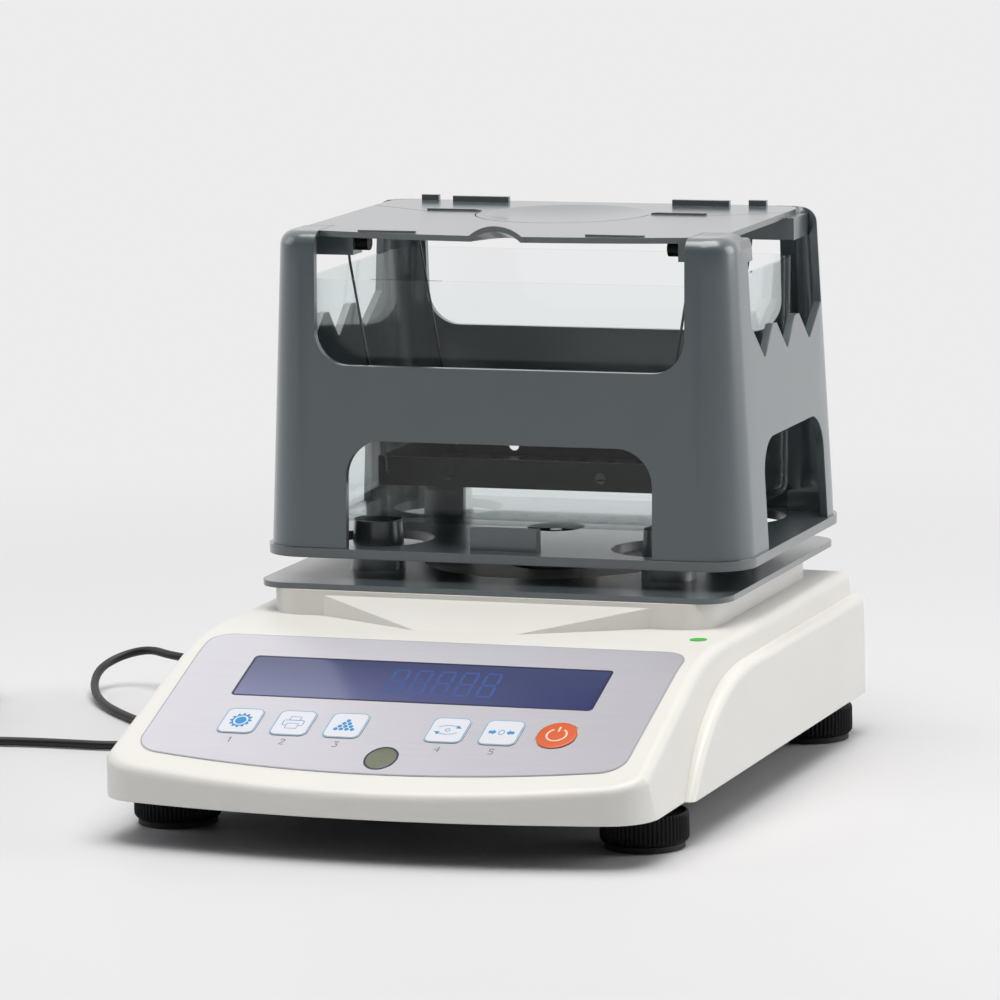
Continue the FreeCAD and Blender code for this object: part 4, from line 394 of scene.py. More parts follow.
def window_film():
    """Tinted acrylic over an unlit blue-violet display: glossy, with a painted highlight, paler where the
    light falls in.

    The painted highlight is palest at the lower left; foot and head are the heights between which it darkens.
    """
    foot, head = 46.0, 57.5
    cloud_size = 60.0
    made, tree, place = new_finish("violet_tinted_acrylic")
    parts = add(tree, "ShaderNodeSeparateXYZ", {"Vector": place})
    painted_highlight_up = add(tree, "ShaderNodeMapRange", {
        "Value": parts.outputs["Z"], "From Min": foot * MM, "From Max": head * MM})
    painted_highlight_across = add(tree, "ShaderNodeMapRange", {
        "Value": parts.outputs["X"], "From Min": -WINDOW_HALF * MM, "From Max": WINDOW_HALF * MM})
    cloud = add(tree, "ShaderNodeTexNoise", {"Vector": place, "Scale": per_metre(cloud_size)})
    # painted highlight: pale at the left, darker to the right and towards the head
    low = add(tree, "ShaderNodeMix", {"Factor": painted_highlight_across, "A": "#7A7EA8", "B": "#3A3F70"}, data_type="RGBA")
    colour = add(tree, "ShaderNodeMix", {"Factor": painted_highlight_up, "A": low, "B": "#474D72"}, data_type="RGBA")
    gloss = add(tree, "ShaderNodeMapRange", {"Value": cloud, "To Min": 0.10, "To Max": 0.18})
    shader = add(tree, "ShaderNodeBsdfPrincipled", {
        "Base Color": colour, "Roughness": gloss, "IOR": 1.49, "Coat Weight": 0.4, "Coat Roughness": 0.08})
    add(tree, "ShaderNodeOutputMaterial", {"Surface": shader})
    return made


def printed_ink(name, colour, shade, roughness=0.4):
    """Screen-printing ink: flat, with the slight unevenness of its mesh."""
    mesh_size = 1.2
    made, tree, place = new_finish(name)
    mottle = add(tree, "ShaderNodeTexNoise", {"Vector": place, "Scale": per_metre(mesh_size), "Detail": 1.0})
    tone = add(tree, "ShaderNodeMix", {"Factor": mottle, "A": shade, "B": colour}, data_type="RGBA")
    gloss = add(tree, "ShaderNodeMapRange", {
        "Value": mottle, "To Min": roughness - 0.05, "To Max": roughness + 0.08})
    shader = add(tree, "ShaderNodeBsdfPrincipled", {"Base Color": tone, "Roughness": gloss})
    add(tree, "ShaderNodeOutputMaterial", {"Surface": shader})
    return made


def metal(name, light, dark, roughness, grain):
    """Bare or plated metal with the fine unevenness of its last working."""
    swing = 0.08
    made, tree, place = new_finish(name)
    fine = add(tree, "ShaderNodeTexNoise", {"Vector": place, "Scale": per_metre(grain), "Detail": 3.0})
    tone = add(tree, "ShaderNodeMix", {"Factor": fine, "A": dark, "B": light}, data_type="RGBA")
    gloss = add(tree, "ShaderNodeMapRange", {
        "Value": fine, "To Min": roughness - swing, "To Max": roughness + swing})
    shader = add(tree, "ShaderNodeBsdfPrincipled", {"Base Color": tone, "Roughness": gloss, "Metallic": 1.0})
    add(tree, "ShaderNodeOutputMaterial", {"Surface": shader})
    return made


def clear_acrylic(name, tint, edge_tint, haze):
    """Moulded clear acrylic: what lies behind shows through, tinted where it is seen edge on.

    It mirrors like glass: a little when seen square on, and more with the fifth power of the slant.
    A faint film, haze at its thickest, lies on it in smears.
    """
    smear_size = 25.0
    made, tree, place = new_finish(name)
    smear = add(tree, "ShaderNodeTexNoise", {"Vector": place, "Scale": per_metre(smear_size), "Detail": 3.0})
    turned_away = add(tree, "ShaderNodeLayerWeight", {"Blend": 0.35}).outputs["Facing"]
    colour = add(tree, "ShaderNodeMix", {"Factor": turned_away, "A": tint, "B": edge_tint}, data_type="RGBA")
    through = add(tree, "ShaderNodeBsdfTransparent", {"Color": colour})
    gloss = add(tree, "ShaderNodeMapRange", {"Value": smear, "To Min": 0.02, "To Max": 0.10})
    sheen = add(tree, "ShaderNodeBsdfGlossy", {"Color": "#FFFFFF", "Roughness": gloss})
    film = add(tree, "ShaderNodeBsdfDiffuse", {"Color": "#E9F0F0"})
    film_share = add(tree, "ShaderNodeMapRange", {"Value": smear, "To Min": 0.0, "To Max": haze})
    hazy = add(tree, "ShaderNodeMixShader", {0: film_share, 1: through, 2: film})
    slant = add(tree, "ShaderNodeLayerWeight", {"Blend": 0.5}).outputs["Facing"]
    steep = add(tree, "ShaderNodeMath", {0: slant, 1: 5.0}, operation="POWER")
    mirror_share = add(tree, "ShaderNodeMapRange", {"Value": steep, "To Min": 0.015, "To Max": 0.9})
    surface = add(tree, "ShaderNodeMixShader", {0: mirror_share, 1: hazy, 2: sheen})
    add(tree, "ShaderNodeOutputMaterial", {"Surface": surface})
    return made


# name, light tone, dark tone, roughness, grain size in mm, relief in mm (plastics);
# name, tone, shade, roughness (inks); name, light, dark, roughness, grain size in mm (metals)
FINISHES = {
    # fine-grained moulded ABS, warm white, with a soft sheen on its rounded edges
    "white_abs": moulded("moulded_white_abs", "#ECEAE6", "#E7E5E0", 0.38, 0.35, 0.012, edge=0.6),
    # moulded ABS, blue-grey, glossier: long soft highlights on the corner posts
    "grey_abs": moulded("moulded_grey_abs", "#586267", "#535D61", 0.30, 0.30, 0.010, edge=0.7, coat=1.0),
    # coarse-grained moulded ABS, near black: a colour chosen so that the shade in the gap under the base
    # stays dark
    "cover_abs": moulded("moulded_cover_abs", "#232425", "#1C1D1E", 0.50, 0.50, 0.020),
    # fine-grained moulded ABS, black with little shine: the flutes show only as thin lines
    "black_abs": moulded("moulded_black_abs", "#0A0A0B", "#070708", 0.50, 0.30, 0.012, edge=0.2, ior=1.3),
    # soft PVC of the lead, duller than ABS
    "black_pvc": moulded("extruded_black_pvc", "#0C0D0F", "#08090A", 0.50, 0.80, 0.010),
    # moulded rubber, matt and a little lighter than the knobs
    "rubber": moulded("moulded_black_rubber", "#1E1E1F", "#171718", 0.75, 0.40, 0.020),
    # stove enamel on steel sheet: thin orange-peel and a satin shine
    "black_enamel": moulded("black_enamelled_steel", "#0C0C0E", "#08080A", 0.42, 1.20, 0.004, edge=0.15,
                            ior=1.35),
    "overlay": overlay_film(),
    "window": window_film(),
    # embossed films over the keys: each key catches the light on its rim, the power key in orange
    "key": moulded("embossed_key_film", "#E4E5EC", "#DDDEE6", 0.36, 0.40, 0.008, edge=0.25),
    "power": moulded("embossed_orange_film", "#E0652E", "#D45A27", 0.34, 0.50, 0.008, edge=0.25),
    # screen-printing inks: flat tones that stay crisp at their edges
    "blue_ink": printed_ink("blue_screen_ink", "#1F92CF", "#1A86C2"),
    "outline_ink": printed_ink("pale_blue_screen_ink", "#6FB0D0", "#5FA2C6"),
    "dark_ink": printed_ink("dark_grey_screen_ink", "#3C3D47", "#34353F"),
    "navy_ink": printed_ink("navy_screen_ink", "#23284A", "#1D2240", 0.3),
    "white_ink": printed_ink("white_screen_ink", "#F6DCCF", "#F1D2C2"),
    # painted shade along the overlay's edge, in the same flat finish as the inks
    "edge_shade_line": printed_ink("overlay_edge_painted_shade", "#A7A6AF", "#9E9DA6"),
    "segment_ink": printed_ink("display_segment_ink", "#4A62A0", "#455B96", 0.2),
    "green": printed_ink("green_label_ink", "#36C23A", "#2FB534"),
    # zinc plate: pale grey and slightly dull
    "steel": metal("zinc_plated_steel", "#B9BBBD", "#A9ABAE", 0.32, 0.6),
    # blackened wire: thin dark lines with a faint glint
    "wire": metal("blackened_steel_wire", "#54565A", "#44464A", 0.34, 0.2),
    # turned brass: warm yellow
    "brass": metal("turned_brass", "#C9A45A", "#B9944C", 0.30, 0.4),
    # milled aluminium: cool, even grey
    "aluminium": metal("milled_aluminium", "#C6C8CA", "#B6B8BA", 0.36, 0.5),
    # nickel plate: warm grey and bright
    "nickel": metal("nickel_plated_brass", "#C4C3BF", "#B4B3AF", 0.22, 0.4),
    # solder mask on a circuit board: glossy green
    "board": printed_ink("green_solder_mask", "#1C5A36", "#174F2F", 0.3),
    # the unlit display's glass: dark blue and glossy
    "display": printed_ink("unlit_display_glass", "#1B1C38", "#16172E", 0.15),
    # clear moulded acrylic: nearly unseen but for its rims and slanting walls
    "tank": clear_acrylic("clear_moulded_acrylic", "#FEFFFF", "#E4E9E9", 0.003),
    # the vial's acrylic over its liquid: cloudy olive
    "vial": clear_acrylic("olive_vial_acrylic", "#B8C296", "#6E7858", 0.30),
    # tinted window over the level's liquid, nearly opaque from outside
    "level_window": printed_ink("olive_tinted_window", "#737863", "#6A6F5C", 0.22),
}
WALLS = [f"weighing_frame_{side}" for side in FRAME_SIDES if side != "floor"]
WORN = {
    "white_abs": ["upper_housing"],
    "grey_abs": ["support_tray", "front_plate", "rear_plate", "weighing_frame_floor"] + WALLS,
    "cover_abs": ["bottom_cover"],
    "black_abs": ["power_jack", "wire_clamp_screws"],
    "black_enamel": ["basket", "housing_screws", "panel_board_screws", "load_cell_screws"],
    "rubber": [f"foot_pad_{place}" for place in FOOT_PLACES],
    "overlay": ["control_overlay"],
    "window": ["display_window"],
    "key": [name for name in KEYS if name != "key_power"],
    "green": ["inspection_dot"],
    "steel": ["main_board_screws", "tray_screws", "centre_screw", "key_switches"],
    "wire": ["front_wires", "rear_wires"],
    "brass": ["foot_inserts"],
    "aluminium": ["load_cell", "load_cell_block", "pan_carrier"],
    "nickel": ["serial_port", "port_standoffs"],
    "board": ["main_board", "panel_board"],
    "display": ["lcd_module"],
    "tank": ["immersion_tank"],
    "vial": ["level_vial"],
}
for finish_name, names in WORN.items():
    for node_name in names:
        NODES[node_name].data.materials.clear()
        NODES[node_name].data.materials.append(FINISHES[finish_name])


# ---------------------------------------------------------------- weighing frame


def frame_walls():
    """The frame's walls as one skin: their nodes joined, without the faces where they meet."""
    crease = 24.0
    reach = np.array([vertex.co.y for vertex in NODES["weighing_frame_left"].data.vertices])
    seams = (reach.min(), reach.max())
    made = bmesh.new()
    for node_name in WALLS:
        made.from_mesh(NODES[node_name].data)
    bmesh.ops.remove_doubles(made, verts=made.verts, dist=WELD * MM)
    inner = [face for face in made.faces
             if any(all(abs(vertex.co.y - seam) < WELD * MM for vertex in face.verts) for seam in seams)]
    bmesh.ops.delete(made, geom=inner, context="FACES")
    mesh = bpy.data.meshes.new("frame_walls")
    made.to_mesh(mesh)
    made.free()
    mesh.shade_smooth()
    mesh.set_sharp_from_angle(angle=math.radians(crease))
    mesh.materials.clear()
    mesh.materials.append(FINISHES["grey_abs"])
    walls = new_object("frame_walls", mesh)
    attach(walls, "frame")
    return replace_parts(walls, *WALLS)


frame_walls()


# ---------------------------------------------------------------- supply lead


def metres(points):
    """Points in millimetres as tuples in metres."""
    return [tuple(value * MM for value in point) for point in points]


def coil_points():
    """Turns wound inwards and outwards in layers, each a cord's thickness above the last.

    Along a layer the radius changes by one step a turn; between layers the height rises by one
    step at a steady radius.
    """
    stations = [(0.0, COIL_OUTER, COIL_LOW)]
    for layer in range(COIL_LAYERS):
        turn, radius, height = stations[-1]
        inwards = -1 if layer % 2 == 0 else 1
        radius += inwards * COIL_STEP * LAYER_TURNS
        stations.append((turn + LAYER_TURNS, radius, height))
        if layer < COIL_LAYERS - 1:
            stations.append((turn + LAYER_TURNS + RISE_TURNS, radius, height + COIL_STEP))
    turns, radii, heights = np.array(stations).T
    count = math.ceil(turns[-1] * COIL_POINTS)
    steps = np.linspace(0.0, turns[-1], count + 1)
    angle = COIL_FIRST - TURN * steps
    radius = np.interp(steps, turns, radii)
    x = COIL_CENTRE[0] + radius * np.cos(angle)
    y = COIL_CENTRE[1] + radius * np.sin(angle)
    return np.column_stack([x, y, np.interp(steps, turns, heights)]).tolist()


def supply_cord():
    """The lead from the plug, round behind the meter, under the coil and into the adapter."""
    line = [CORD_START] + CORD_ROUTE + [CORD_TO_COIL] + coil_points()
    line += [CORD_FROM_COIL, ADAPTER_MOUTH, CORD_INSIDE]
    curve = bpy.data.curves.new("supply_cord", "CURVE")
    curve.dimensions = "3D"
    spline = curve.splines.new("NURBS")
    spline.points.add(len(line) - 1)
    for point, place in zip(spline.points, metres(line)):
        point.co = (*place, 1.0)
    spline.order_u = 3
    spline.use_endpoint_u = True
    spline.resolution_u = 6
    curve.bevel_depth = CORD_DIAMETER / 2.0 * MM
    curve.bevel_resolution = 4
    curve.use_fill_caps = True
    curve.materials.append(FINISHES["black_pvc"])
    made = new_object("supply_cord", curve)
    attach(made, "base")
    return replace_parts(made, "power_cord", "power_cord_coil")


def plug_shape():
    """A right-angled plug: a squared body along X whose sides ease into a ribbed, tapering relief."""
    axis_y, axis_z = CORD_START[1:]
    # x, half width, squareness
    stations = [(-64.8, 3.6, 4.0), (-65.1, 4.6, 4.5), (-66.0, 5.2, 5.0), (-73.6, 5.2, 5.0),
                (-74.8, 4.7, 4.0), (-75.4, 4.0, 2.6)]
    for rib in range(5):
        x = -76.6 - rib * 4.0
        half = 3.5 - rib * 0.25
        stations += [(x, half, 2.0), (x - 2.2, half - 0.08, 2.0), (x - 2.5, half - 0.55, 2.0),
                     (x - 3.3, half - 0.6, 2.0)]
    stations.append((-97.6, 2.1, 2.0))
    sections = []
    for x, half, power in stations:
        along_y, along_z = squared_ring(half, half, power)
        sections.append(np.column_stack([np.full(len(along_y), x), axis_y + along_y, axis_z + along_z]))
    barrel = turned_along_y(BARREL_X, [(142.0, axis_z, 2.75), (132.9, axis_z, 2.75), (132.4, axis_z, 2.4)])
    return joined([loft(sections), barrel])


def adapter_shape():
    """The adapter's case: rounded rectangles along Y that shrink at the ends, with a parting groove."""
    middle_x, middle_z = ADAPTER_MOUTH[0], ADAPTER_MOUTH[2]
    sections = []
    for y, shrink in ((52.8, 3.0), (53.3, 1.4), (54.3, 0.4), (56.0, 0.0), (117.6, 0.0), (119.3, 0.4),
                      (120.3, 1.4), (120.8, 3.0)):
        first, second = squared_ring(ADAPTER_HALF_WIDTH - shrink, ADAPTER_HALF_HEIGHT - shrink, 9.0, 96)
        groove = 0.5 * np.exp(-(second / 0.45) ** 2) * np.sign(first)
        sections.append(np.column_stack([middle_x + first - groove, np.full(96, y), middle_z + second]))
    return loft(sections)


def boot_shape():
    """The adapter's relief: circles along Y that shrink and sink towards its tip, with shallow rings."""
    tip_y, tip_z = 32.8, 13.4
    rise = 0.08
    circles = ((53.2, 3.6), (50.0, 3.5), (49.6, 3.0), (48.4, 3.0), (48.0, 3.3), (45.5, 3.1), (45.1, 2.6),
               (43.9, 2.6), (43.5, 2.9), (41.0, 2.7), (40.6, 2.3), (33.2, 2.1), (32.8, 1.9))
    return turned_along_y(RELIEF_X, [(y, tip_z + (y - tip_y) * rise, radius) for y, radius in circles], 32)


def prong_shape():
    """Two round pins along Y, rounded at their tips."""
    height = ADAPTER_MOUTH[2]
    stations = [(120.5, height, 2.2), (138.2, height, 2.2), (139.3, height, 1.7), (139.8, height, 0.9)]
    return joined([turned_along_y(ADAPTER_MOUTH[0] + side * PIN_SPACING / 2.0, stations) for side in (-1, 1)])


cord = supply_cord()
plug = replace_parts(piece("right_angle_plug", plug_shape(), "base", FINISHES["black_abs"]), "dc_plug")
boot = piece("adapter_relief", boot_shape(), "base", FINISHES["black_pvc"])
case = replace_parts(piece("adapter_case", adapter_shape(), "base", FINISHES["black_abs"]), "mains_adapter")
pins = piece("adapter_pins", prong_shape(), "base", FINISHES["nickel"])


# ---------------------------------------------------------------- feet


def knob_shape(place):
    """A fluted knob: its radius falls by the flute's depth times (1 - cos of flutes x angle) / 2."""
    flutes = 60
    depth = 0.55
    # radius, height, share of the flute's depth
    stations = [(4.1, 2.1, 0), (14.4, 2.1, 0), (15.3, 2.4, 0.5), (16.0, 3.4, 1), (16.1, 4.4, 1),
                (16.1, 11.6, 1), (15.9, 12.6, 1), (15.5, 13.0, 0.5), (14.7, 13.0, 0), (14.3, 12.7, 0),
                (14.0, 12.1, 0), (9.6, 12.1, 0), (9.0, 12.4, 0), (9.0, 13.4, 0), (3.0, 13.4, 0),
                (3.0, 29.4, 0), (2.4, 30.0, 0)]
    radius, height, share = np.array(stations).T
    turn = np.linspace(0.0, TURN, flutes * 6, endpoint=False)
    cut = depth * (1.0 - np.cos(flutes * turn)) / 2.0
    reach = radius[:, None] - share[:, None] * cut
    points = np.stack([place[0] + reach * np.cos(turn), place[1] + reach * np.sin(turn),
                       np.broadcast_to(height[:, None], reach.shape)], axis=-1)
    return solid(skin(points))


for foot, place in FOOT_PLACES.items():
    knob = piece(f"fluted_knob_{foot}", knob_shape(place), f"knob_{foot}", FINISHES["black_abs"],
                 smooth_angle=50.0)
    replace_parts(knob, f"foot_knob_{foot}")


# ---------------------------------------------------------------- control panel


def overlay_edge_shade():
    """A thin darker line just inside the overlay's edge: painted shade where the film ends."""
    inset = 0.3
    outline = bowed_outline(OVERLAY_HALF - inset, OVERLAY_LOW + inset, OVERLAY_HIGH - inset,
                            OVERLAY_BOW - inset, OVERLAY_CORNER - inset, OVERLAY_TOP_CORNER - inset)
    return stroke(denser(outline, 2.0), 0.4, OVERLAY_TOP - SINK, OVERLAY_TOP + INK, closed=True)


def window_border():
    """A dark line just inside the window's edge."""
    inset = 0.35
    outline = rounded_outline((inset - WINDOW_HALF, WINDOW_LOW + inset),
                              (WINDOW_HALF - inset, WINDOW_HIGH - inset), 1.4)
    return stroke(denser(outline, 3.0), 0.9, OVERLAY_TOP - SINK, OVERLAY_TOP + INK, closed=True)


def key_outline(middle):
    """A thin line just inside a square key's edge."""
    inset = 0.35
    outline = rounded_outline((middle - KEY_HALF + inset, KEY_ROW - KEY_REACH + inset),
                              (middle + KEY_HALF - inset, KEY_ROW + KEY_REACH - inset),
                              KEY_CORNER - inset)
    return stroke(outline, 0.4, KEY_TOP - SINK, KEY_TOP + INK, closed=True)


def on_key(middle, points):
    """Points drawn round a key's centre, moved to its place and stretched up the slope as the keys are."""
    points = np.array(points, float)
    return np.column_stack([middle + points[:, 0], KEY_ROW + points[:, 1] * KEY_STRETCH])


def ink_line(middle, points, width, closed=False):
    """A printed line on a key, along points drawn round its centre."""
    return stroke(on_key(middle, points), width, KEY_TOP - SINK, KEY_TOP + INK, closed)


def ink_patch(middle, points):
    """A printed patch on a key, with an outline drawn round its centre."""
    return slab(on_key(middle, points), KEY_TOP - SINK, KEY_TOP + INK)


def arc_points(radius_x, radius_y, first, last, centre=(0.0, 0.0)):
    """Points along an ellipse between two angles in degrees."""
    turn = np.radians(np.linspace(first, last, 24))
    return np.column_stack([centre[0] + radius_x * np.cos(turn), centre[1] + radius_y * np.sin(turn)])


def ring_points(radius, steps=48):
    """Points round a circle."""
    turn = np.linspace(0.0, TURN, steps, endpoint=False)
    return np.column_stack([radius * np.cos(turn), radius * np.sin(turn)])


def setup_sign(middle):
    """A toothed ring round a disc."""
    teeth = 12
    turn = np.linspace(0.0, TURN, teeth * 8, endpoint=False)
    radius = 3.75 + 0.45 * np.tanh(3.0 * np.cos(teeth * turn))
    outer = np.column_stack([radius * np.cos(turn), radius * np.sin(turn)])
    inner = ring_points(2.75, len(turn))
    corners = []
    for outline, height in ((inner, KEY_TOP - SINK), (outer, KEY_TOP - SINK), (outer, KEY_TOP + INK),
                            (inner, KEY_TOP + INK)):
        corners.append(np.column_stack([on_key(middle, outline), np.full(len(turn), height)]))
    ring = solid(skin(panel_points(np.stack(corners, axis=1)), closed=True))
    return joined([ring, ink_patch(middle, ring_points(2.1))])


def print_sign(middle):
    """A printer: a body with a sheet above and a sheet below."""
    width = 0.32
    body = [(-2.0, -1.6), (-3.4, -1.6), (-3.9, -1.0), (-3.9, 0.9), (-3.4, 1.4), (3.4, 1.4), (3.9, 0.9),
            (3.9, -1.0), (3.4, -1.6), (2.0, -1.6)]
    return joined([
        ink_line(middle, body, width),
        ink_line(middle, [(-2.0, 1.4), (-2.0, 3.5), (2.0, 3.5), (2.0, 1.4)], width),
        ink_line(middle, [(-2.2, -0.4), (2.2, -0.4), (2.2, -3.3), (-2.2, -3.3)], width, closed=True),
    ])


def enter_sign(middle):
    """Rows of dots that make a heap."""
    dots = []
    for row, count in enumerate((4, 3, 2, 1)):
        for i in range(count):
            x = (i - (count - 1) / 2.0) * 2.1
            dots.append(ink_patch(middle, ring_points(0.85, 20) + (x, -2.4 + row * 1.65)))
    return joined(dots)


def mode_sign(middle):
    """Two curved arrows that follow each other round a dot."""
    shapes = []
    for sense in (1.0, -1.0):
        bend = arc_points(4.6, 2.2, 150, 50, centre=(0.0, 0.3)) * sense
        tip = bend[-1]
        head = np.array([(0.1, 0.9), (1.9, -0.9), (-0.3, -1.0)]) * sense + tip
        shapes += [ink_line(middle, bend, 0.32), ink_patch(middle, head)]
    return joined(shapes + [ink_line(middle, ring_points(0.8, 24), 0.3, closed=True)])


def zero_sign(middle):
    """Two arrows that point at a ring."""
    shapes = [ink_line(middle, arc_points(0.95, 1.3, 0, 345), 0.32, closed=True)]
    for sense in (-1.0, 1.0):
        arrow = np.array([(1.9, 0.0), (3.2, 1.5), (3.2, 0.75), (4.8, 0.75), (4.8, -0.75), (3.2, -0.75),
                          (3.2, -1.5)])
        shapes.append(ink_patch(middle, arrow * (sense, 1.0)))
    return joined(shapes)


def power_cap():
    """A round cap with a softly domed edge: ellipses that shrink as they rise."""
    half_across, half_up = 7.3, 8.8
    sections = []
    for height, shrink in ((-2.2, 2.0), (0.40, 2.0), (0.42, 0.0), (0.62, 0.0), (0.78, 0.12), (0.86, 0.4),
                           (CAP_TOP, 1.0)):
        outline = ellipse(KEYS["key_power"], KEY_ROW, half_across - shrink, half_up - shrink, 72)
        sections.append(panel_points(np.column_stack([outline, np.full(72, height)])))
    return loft(sections)


def power_sign(middle):
    """A ring, open at the top, with an upright bar in the opening."""
    low, high = CAP_TOP - SINK, CAP_TOP + INK
    ring = on_key(middle, arc_points(3.6, 3.5, 122, 418))
    bar = on_key(middle, [(0.0, 1.9), (0.0, 4.6)])
    return joined([stroke(ring, 0.7, low, high), stroke(bar, 0.7, low, high)])


# the lines of each key's number, about its middle
DIGIT_STROKES = {
    "key_setup": [[(-0.5, 0.9), (0.2, 1.5), (0.2, -1.5)]],
    "key_print": [[(-0.9, 0.9), (-0.4, 1.5), (0.4, 1.5), (0.9, 0.8), (-0.9, -1.5), (0.9, -1.5)]],
    "key_enter": [[(-0.9, 1.5), (0.9, 1.5), (0.0, 0.2), (0.8, -0.2), (0.8, -1.1), (0.3, -1.5), (-0.9, -1.3)]],
    "key_mode": [[(0.5, -1.5), (0.5, 1.5), (-1.0, -0.5), (1.0, -0.5)]],
    "key_zero": [[(0.9, 1.5), (-0.8, 1.5), (-0.8, 0.2), (0.4, 0.3), (0.9, -0.5), (0.4, -1.4), (-0.9, -1.4)]],
}


def key_numbers():
    """Plain numbers under the keys, drawn in single lines."""
    shapes = []
    for name, lines in DIGIT_STROKES.items():
        for line in lines:
            path = np.array(line) * (0.95, 1.15) + (KEYS[name], KEY_ROW - KEY_REACH - 4.2)
            shapes.append(stroke(path, 0.36, OVERLAY_TOP - SINK, OVERLAY_TOP + INK))
    return joined(shapes)


def display_segments():
    """The unlit bars of a row of digits, faint under the window: three level and four upright bars each."""
    gap = 1.0
    bars = []
    for digit in range(DIGITS):
        left = DIGIT_LEFT + digit * DIGIT_PITCH
        for row in range(3):
            height = DIGIT_LOW + row * DIGIT_RISE
            bars.append([(left, height), (left + DIGIT_WIDTH, height)])
        for x in (left, left + DIGIT_WIDTH):
            for row in range(2):
                low = DIGIT_LOW + gap + row * DIGIT_RISE
                bars.append([(x, low), (x, low + DIGIT_RISE - 2.0 * gap)])
    return joined([stroke(bar, 1.1, OVERLAY_TOP - SINK, OVERLAY_TOP + SEGMENT_INK) for bar in bars])


def level_lens():
    """A low tinted dome over the level vial: ellipses that shrink as they rise."""
    sections = []
    for height, shrink in ((-1.2, 0.2), (0.36, 0.2), (0.46, 0.5), (0.54, 1.6), (0.58, 3.4)):
        outline = ellipse(VIAL_ACROSS, VIAL_ROW, LEVEL_HALF - shrink, LEVEL_REACH - shrink, 56)
        sections.append(panel_points(np.column_stack([outline, np.full(56, height)])))
    return loft(sections)


def level_rim():
    """A raised ring round the level's dome."""
    return stroke(ellipse(VIAL_ACROSS, VIAL_ROW, LEVEL_HALF - 0.1, LEVEL_REACH - 0.1, 72), 0.7,
                  OVERLAY_TOP - 0.05, OVERLAY_TOP + 0.12, closed=True)


SIGNS = {"key_setup": setup_sign, "key_print": print_sign, "key_enter": enter_sign, "key_mode": mode_sign,
         "key_zero": zero_sign}
for name, sign in SIGNS.items():
    body = f"{name}_body"
    piece(f"{name}_outline", key_outline(KEYS[name]), body, FINISHES["outline_ink"])
    piece(f"{name}_sign", sign(KEYS[name]), body, FINISHES["blue_ink"])
cap = piece("power_key_cap", power_cap(), "key_power_body", FINISHES["power"])
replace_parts(cap, "key_power")
piece("power_key_sign", power_sign(KEYS["key_power"]), "key_power_body", FINISHES["white_ink"])
# painted shade along the overlay's edge
piece("overlay_edge_shade", overlay_edge_shade(), "base", FINISHES["edge_shade_line"])
piece("window_border", window_border(), "base", FINISHES["navy_ink"])
piece("key_numbers", key_numbers(), "base", FINISHES["dark_ink"])
piece("display_segments", display_segments(), "base", FINISHES["segment_ink"])
piece("level_lens", level_lens(), "base", FINISHES["level_window"])
piece("level_rim", level_rim(), "base", FINISHES["navy_ink"])


# ---------------------------------------------------------------- floor, light and camera


BACKDROP = "#ECECED"
# in mm: where the floor starts to turn into the backdrop and where it ends, its half width, its height
FLOOR_NEAR = 260.0
FLOOR_FAR = 900.0
FLOOR_REACH = 6000.0
FLOOR_LEVEL = -0.3
# strength of the surroundings as plain light, and as mirrored from in front of the meter
AMBIENT = 0.13
FRONT_REFLECTION = 0.06
# place in metres, size in metres, watts, colour
LAMPS = {
    "top_softbox": ((0.1, -0.1, 2.0), 1.7, 44.0, "#FFFDFA"),
    "right_softbox": ((1.9, 0.8, 0.8), 1.3, 16.0, "#FFFFFF"),
    "left_fill": ((-1.8, -0.3, 1.0), 1.2, 7.0, "#F6FAFF"),
}
LAMP_TARGET = (0.0, 0.03, 0.09)
CAMERA_PLACE = (0.7658, -2.1849, 0.461)
CAMERA_YAW = math.radians(19.189)
CAMERA_PITCH = math.radians(8.678)
CAMERA_ROLL = math.radians(-1.028)
CAMERA_LENS = 226.467
CAMERA_SHIFT = -0.0015


def seen_background(tree, path):
    """1 for what the camera sees, directly or through glass, and 0 for other rays."""
    return add(tree, "ShaderNodeMath", {
        0: path.outputs["Is Camera Ray"], 1: path.outputs["Is Transmission Ray"]}, operation="MAXIMUM")


def make_floor():
    """A plain pale table top that fills the view and turns into the backdrop further off."""
    mottle_size = 400.0
    corners = np.array([(-1, -1), (1, -1), (1, 1), (-1, 1)]) * FLOOR_REACH
    corners = np.column_stack([corners, np.full(4, FLOOR_LEVEL)])
    mesh = bpy.data.meshes.new("floor")
    mesh.from_pydata((corners * MM).tolist(), [], [(0, 1, 2, 3)])
    finish, tree, place = new_finish("matt_white_laminate")
    mottle = add(tree, "ShaderNodeTexNoise", {"Vector": place, "Scale": per_metre(mottle_size)})
    tone = add(tree, "ShaderNodeMix", {"Factor": mottle, "A": "#DEDEE0", "B": "#E1E1E3"}, data_type="RGBA")
    shader = add(tree, "ShaderNodeBsdfPrincipled", {"Base Color": tone, "Roughness": 0.55})
    away = add(tree, "ShaderNodeVectorMath", {0: place}, operation="LENGTH").outputs["Value"]
    distance = add(tree, "ShaderNodeMapRange", {
        "Value": away, "From Min": FLOOR_NEAR * MM, "From Max": FLOOR_FAR * MM},
        interpolation_type="SMOOTHSTEP")
    path = add(tree, "ShaderNodeLightPath")
    seen = add(tree, "ShaderNodeMath", {0: seen_background(tree, path), 1: path.outputs["Is Glossy Ray"]},
               operation="MAXIMUM")
    share = add(tree, "ShaderNodeMath", {0: seen, 1: distance}, operation="MULTIPLY")
    backdrop = add(tree, "ShaderNodeEmission", {"Color": BACKDROP})
    surface = add(tree, "ShaderNodeMixShader", {0: share, 1: shader, 2: backdrop})
    add(tree, "ShaderNodeOutputMaterial", {"Surface": surface})
    mesh.materials.append(finish)
    new_object("floor", mesh)


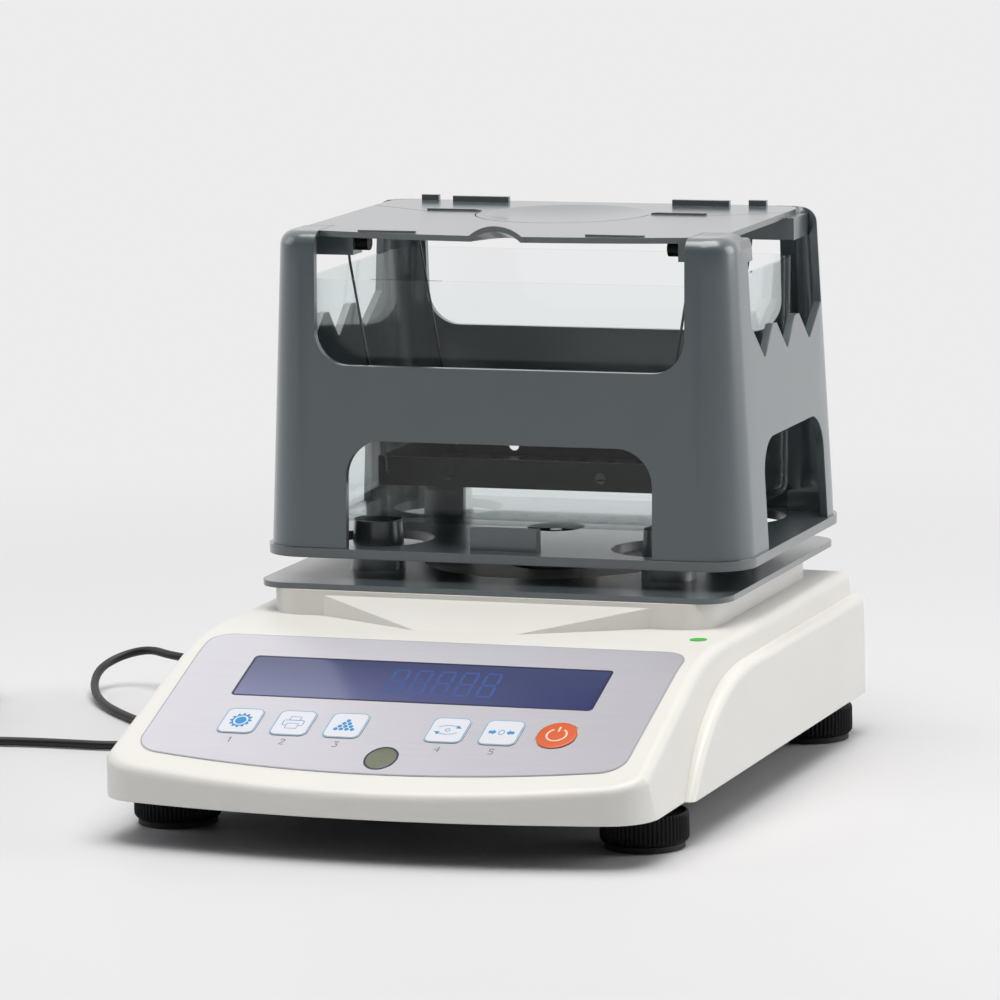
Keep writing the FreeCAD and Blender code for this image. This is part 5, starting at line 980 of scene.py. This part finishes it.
def make_world():
    """Even surroundings; what the camera, glass and gloss see behind is pale, and dimmer in front."""
    world = bpy.data.worlds.new("studio")
    bpy.context.scene.world = world
    world.use_nodes = True
    tree = world.node_tree
    tree.nodes.clear()
    path = add(tree, "ShaderNodeLightPath")
    direction = add(tree, "ShaderNodeTexCoord").outputs["Generated"]
    parts = add(tree, "ShaderNodeSeparateXYZ", {"Vector": direction})
    mirrored = add(tree, "ShaderNodeMapRange", {
        "Value": parts.outputs["Y"], "From Min": -0.5, "From Max": 0.3,
        "To Min": FRONT_REFLECTION, "To Max": 1.0}, interpolation_type="SMOOTHSTEP")
    direct = add(tree, "ShaderNodeMath", {0: seen_background(tree, path), 1: AMBIENT}, operation="MAXIMUM")
    strength = add(tree, "ShaderNodeMix", {
        "Factor": path.outputs["Is Glossy Ray"], "A": direct, "B": mirrored}, data_type="FLOAT")
    background = add(tree, "ShaderNodeBackground", {"Color": BACKDROP, "Strength": strength})
    add(tree, "ShaderNodeOutputWorld", {"Surface": background})


def make_lamps():
    """Square soft lamps that all point at the meter."""
    for name, (place, size, watts, colour) in LAMPS.items():
        light = bpy.data.lights.new(name, "AREA")
        light.size = size
        light.energy = watts
        light.color = linear(colour)[:3]
        made = new_object(name, light)
        made.location = place
        made.rotation_mode = "QUATERNION"
        made.rotation_quaternion = (Vector(LAMP_TARGET) - made.location).to_track_quat("-Z", "Y")


def make_camera():
    """A long lens from the front right, a little above the panel, with a slight roll."""
    away = Vector((math.sin(CAMERA_YAW) * math.cos(CAMERA_PITCH),
                   -math.cos(CAMERA_YAW) * math.cos(CAMERA_PITCH), math.sin(CAMERA_PITCH)))
    right = away.cross(Vector((0.0, 0.0, -1.0))).normalized()
    up = away.cross(right)
    rolled_right = math.cos(CAMERA_ROLL) * right + math.sin(CAMERA_ROLL) * up
    rolled_up = math.cos(CAMERA_ROLL) * up - math.sin(CAMERA_ROLL) * right
    camera = bpy.data.cameras.new("camera")
    camera.lens = CAMERA_LENS
    camera.sensor_width = 36.0
    camera.shift_x = CAMERA_SHIFT
    camera.clip_start = 0.1
    camera.clip_end = 50.0
    made = new_object("camera", camera)
    turn = Matrix((rolled_right, rolled_up, away)).transposed().to_4x4()
    made.matrix_world = Matrix.Translation(CAMERA_PLACE) @ turn
    bpy.context.scene.camera = made


make_floor()
make_world()
make_lamps()
make_camera()
bpy.context.scene.view_settings.view_transform = "Standard"
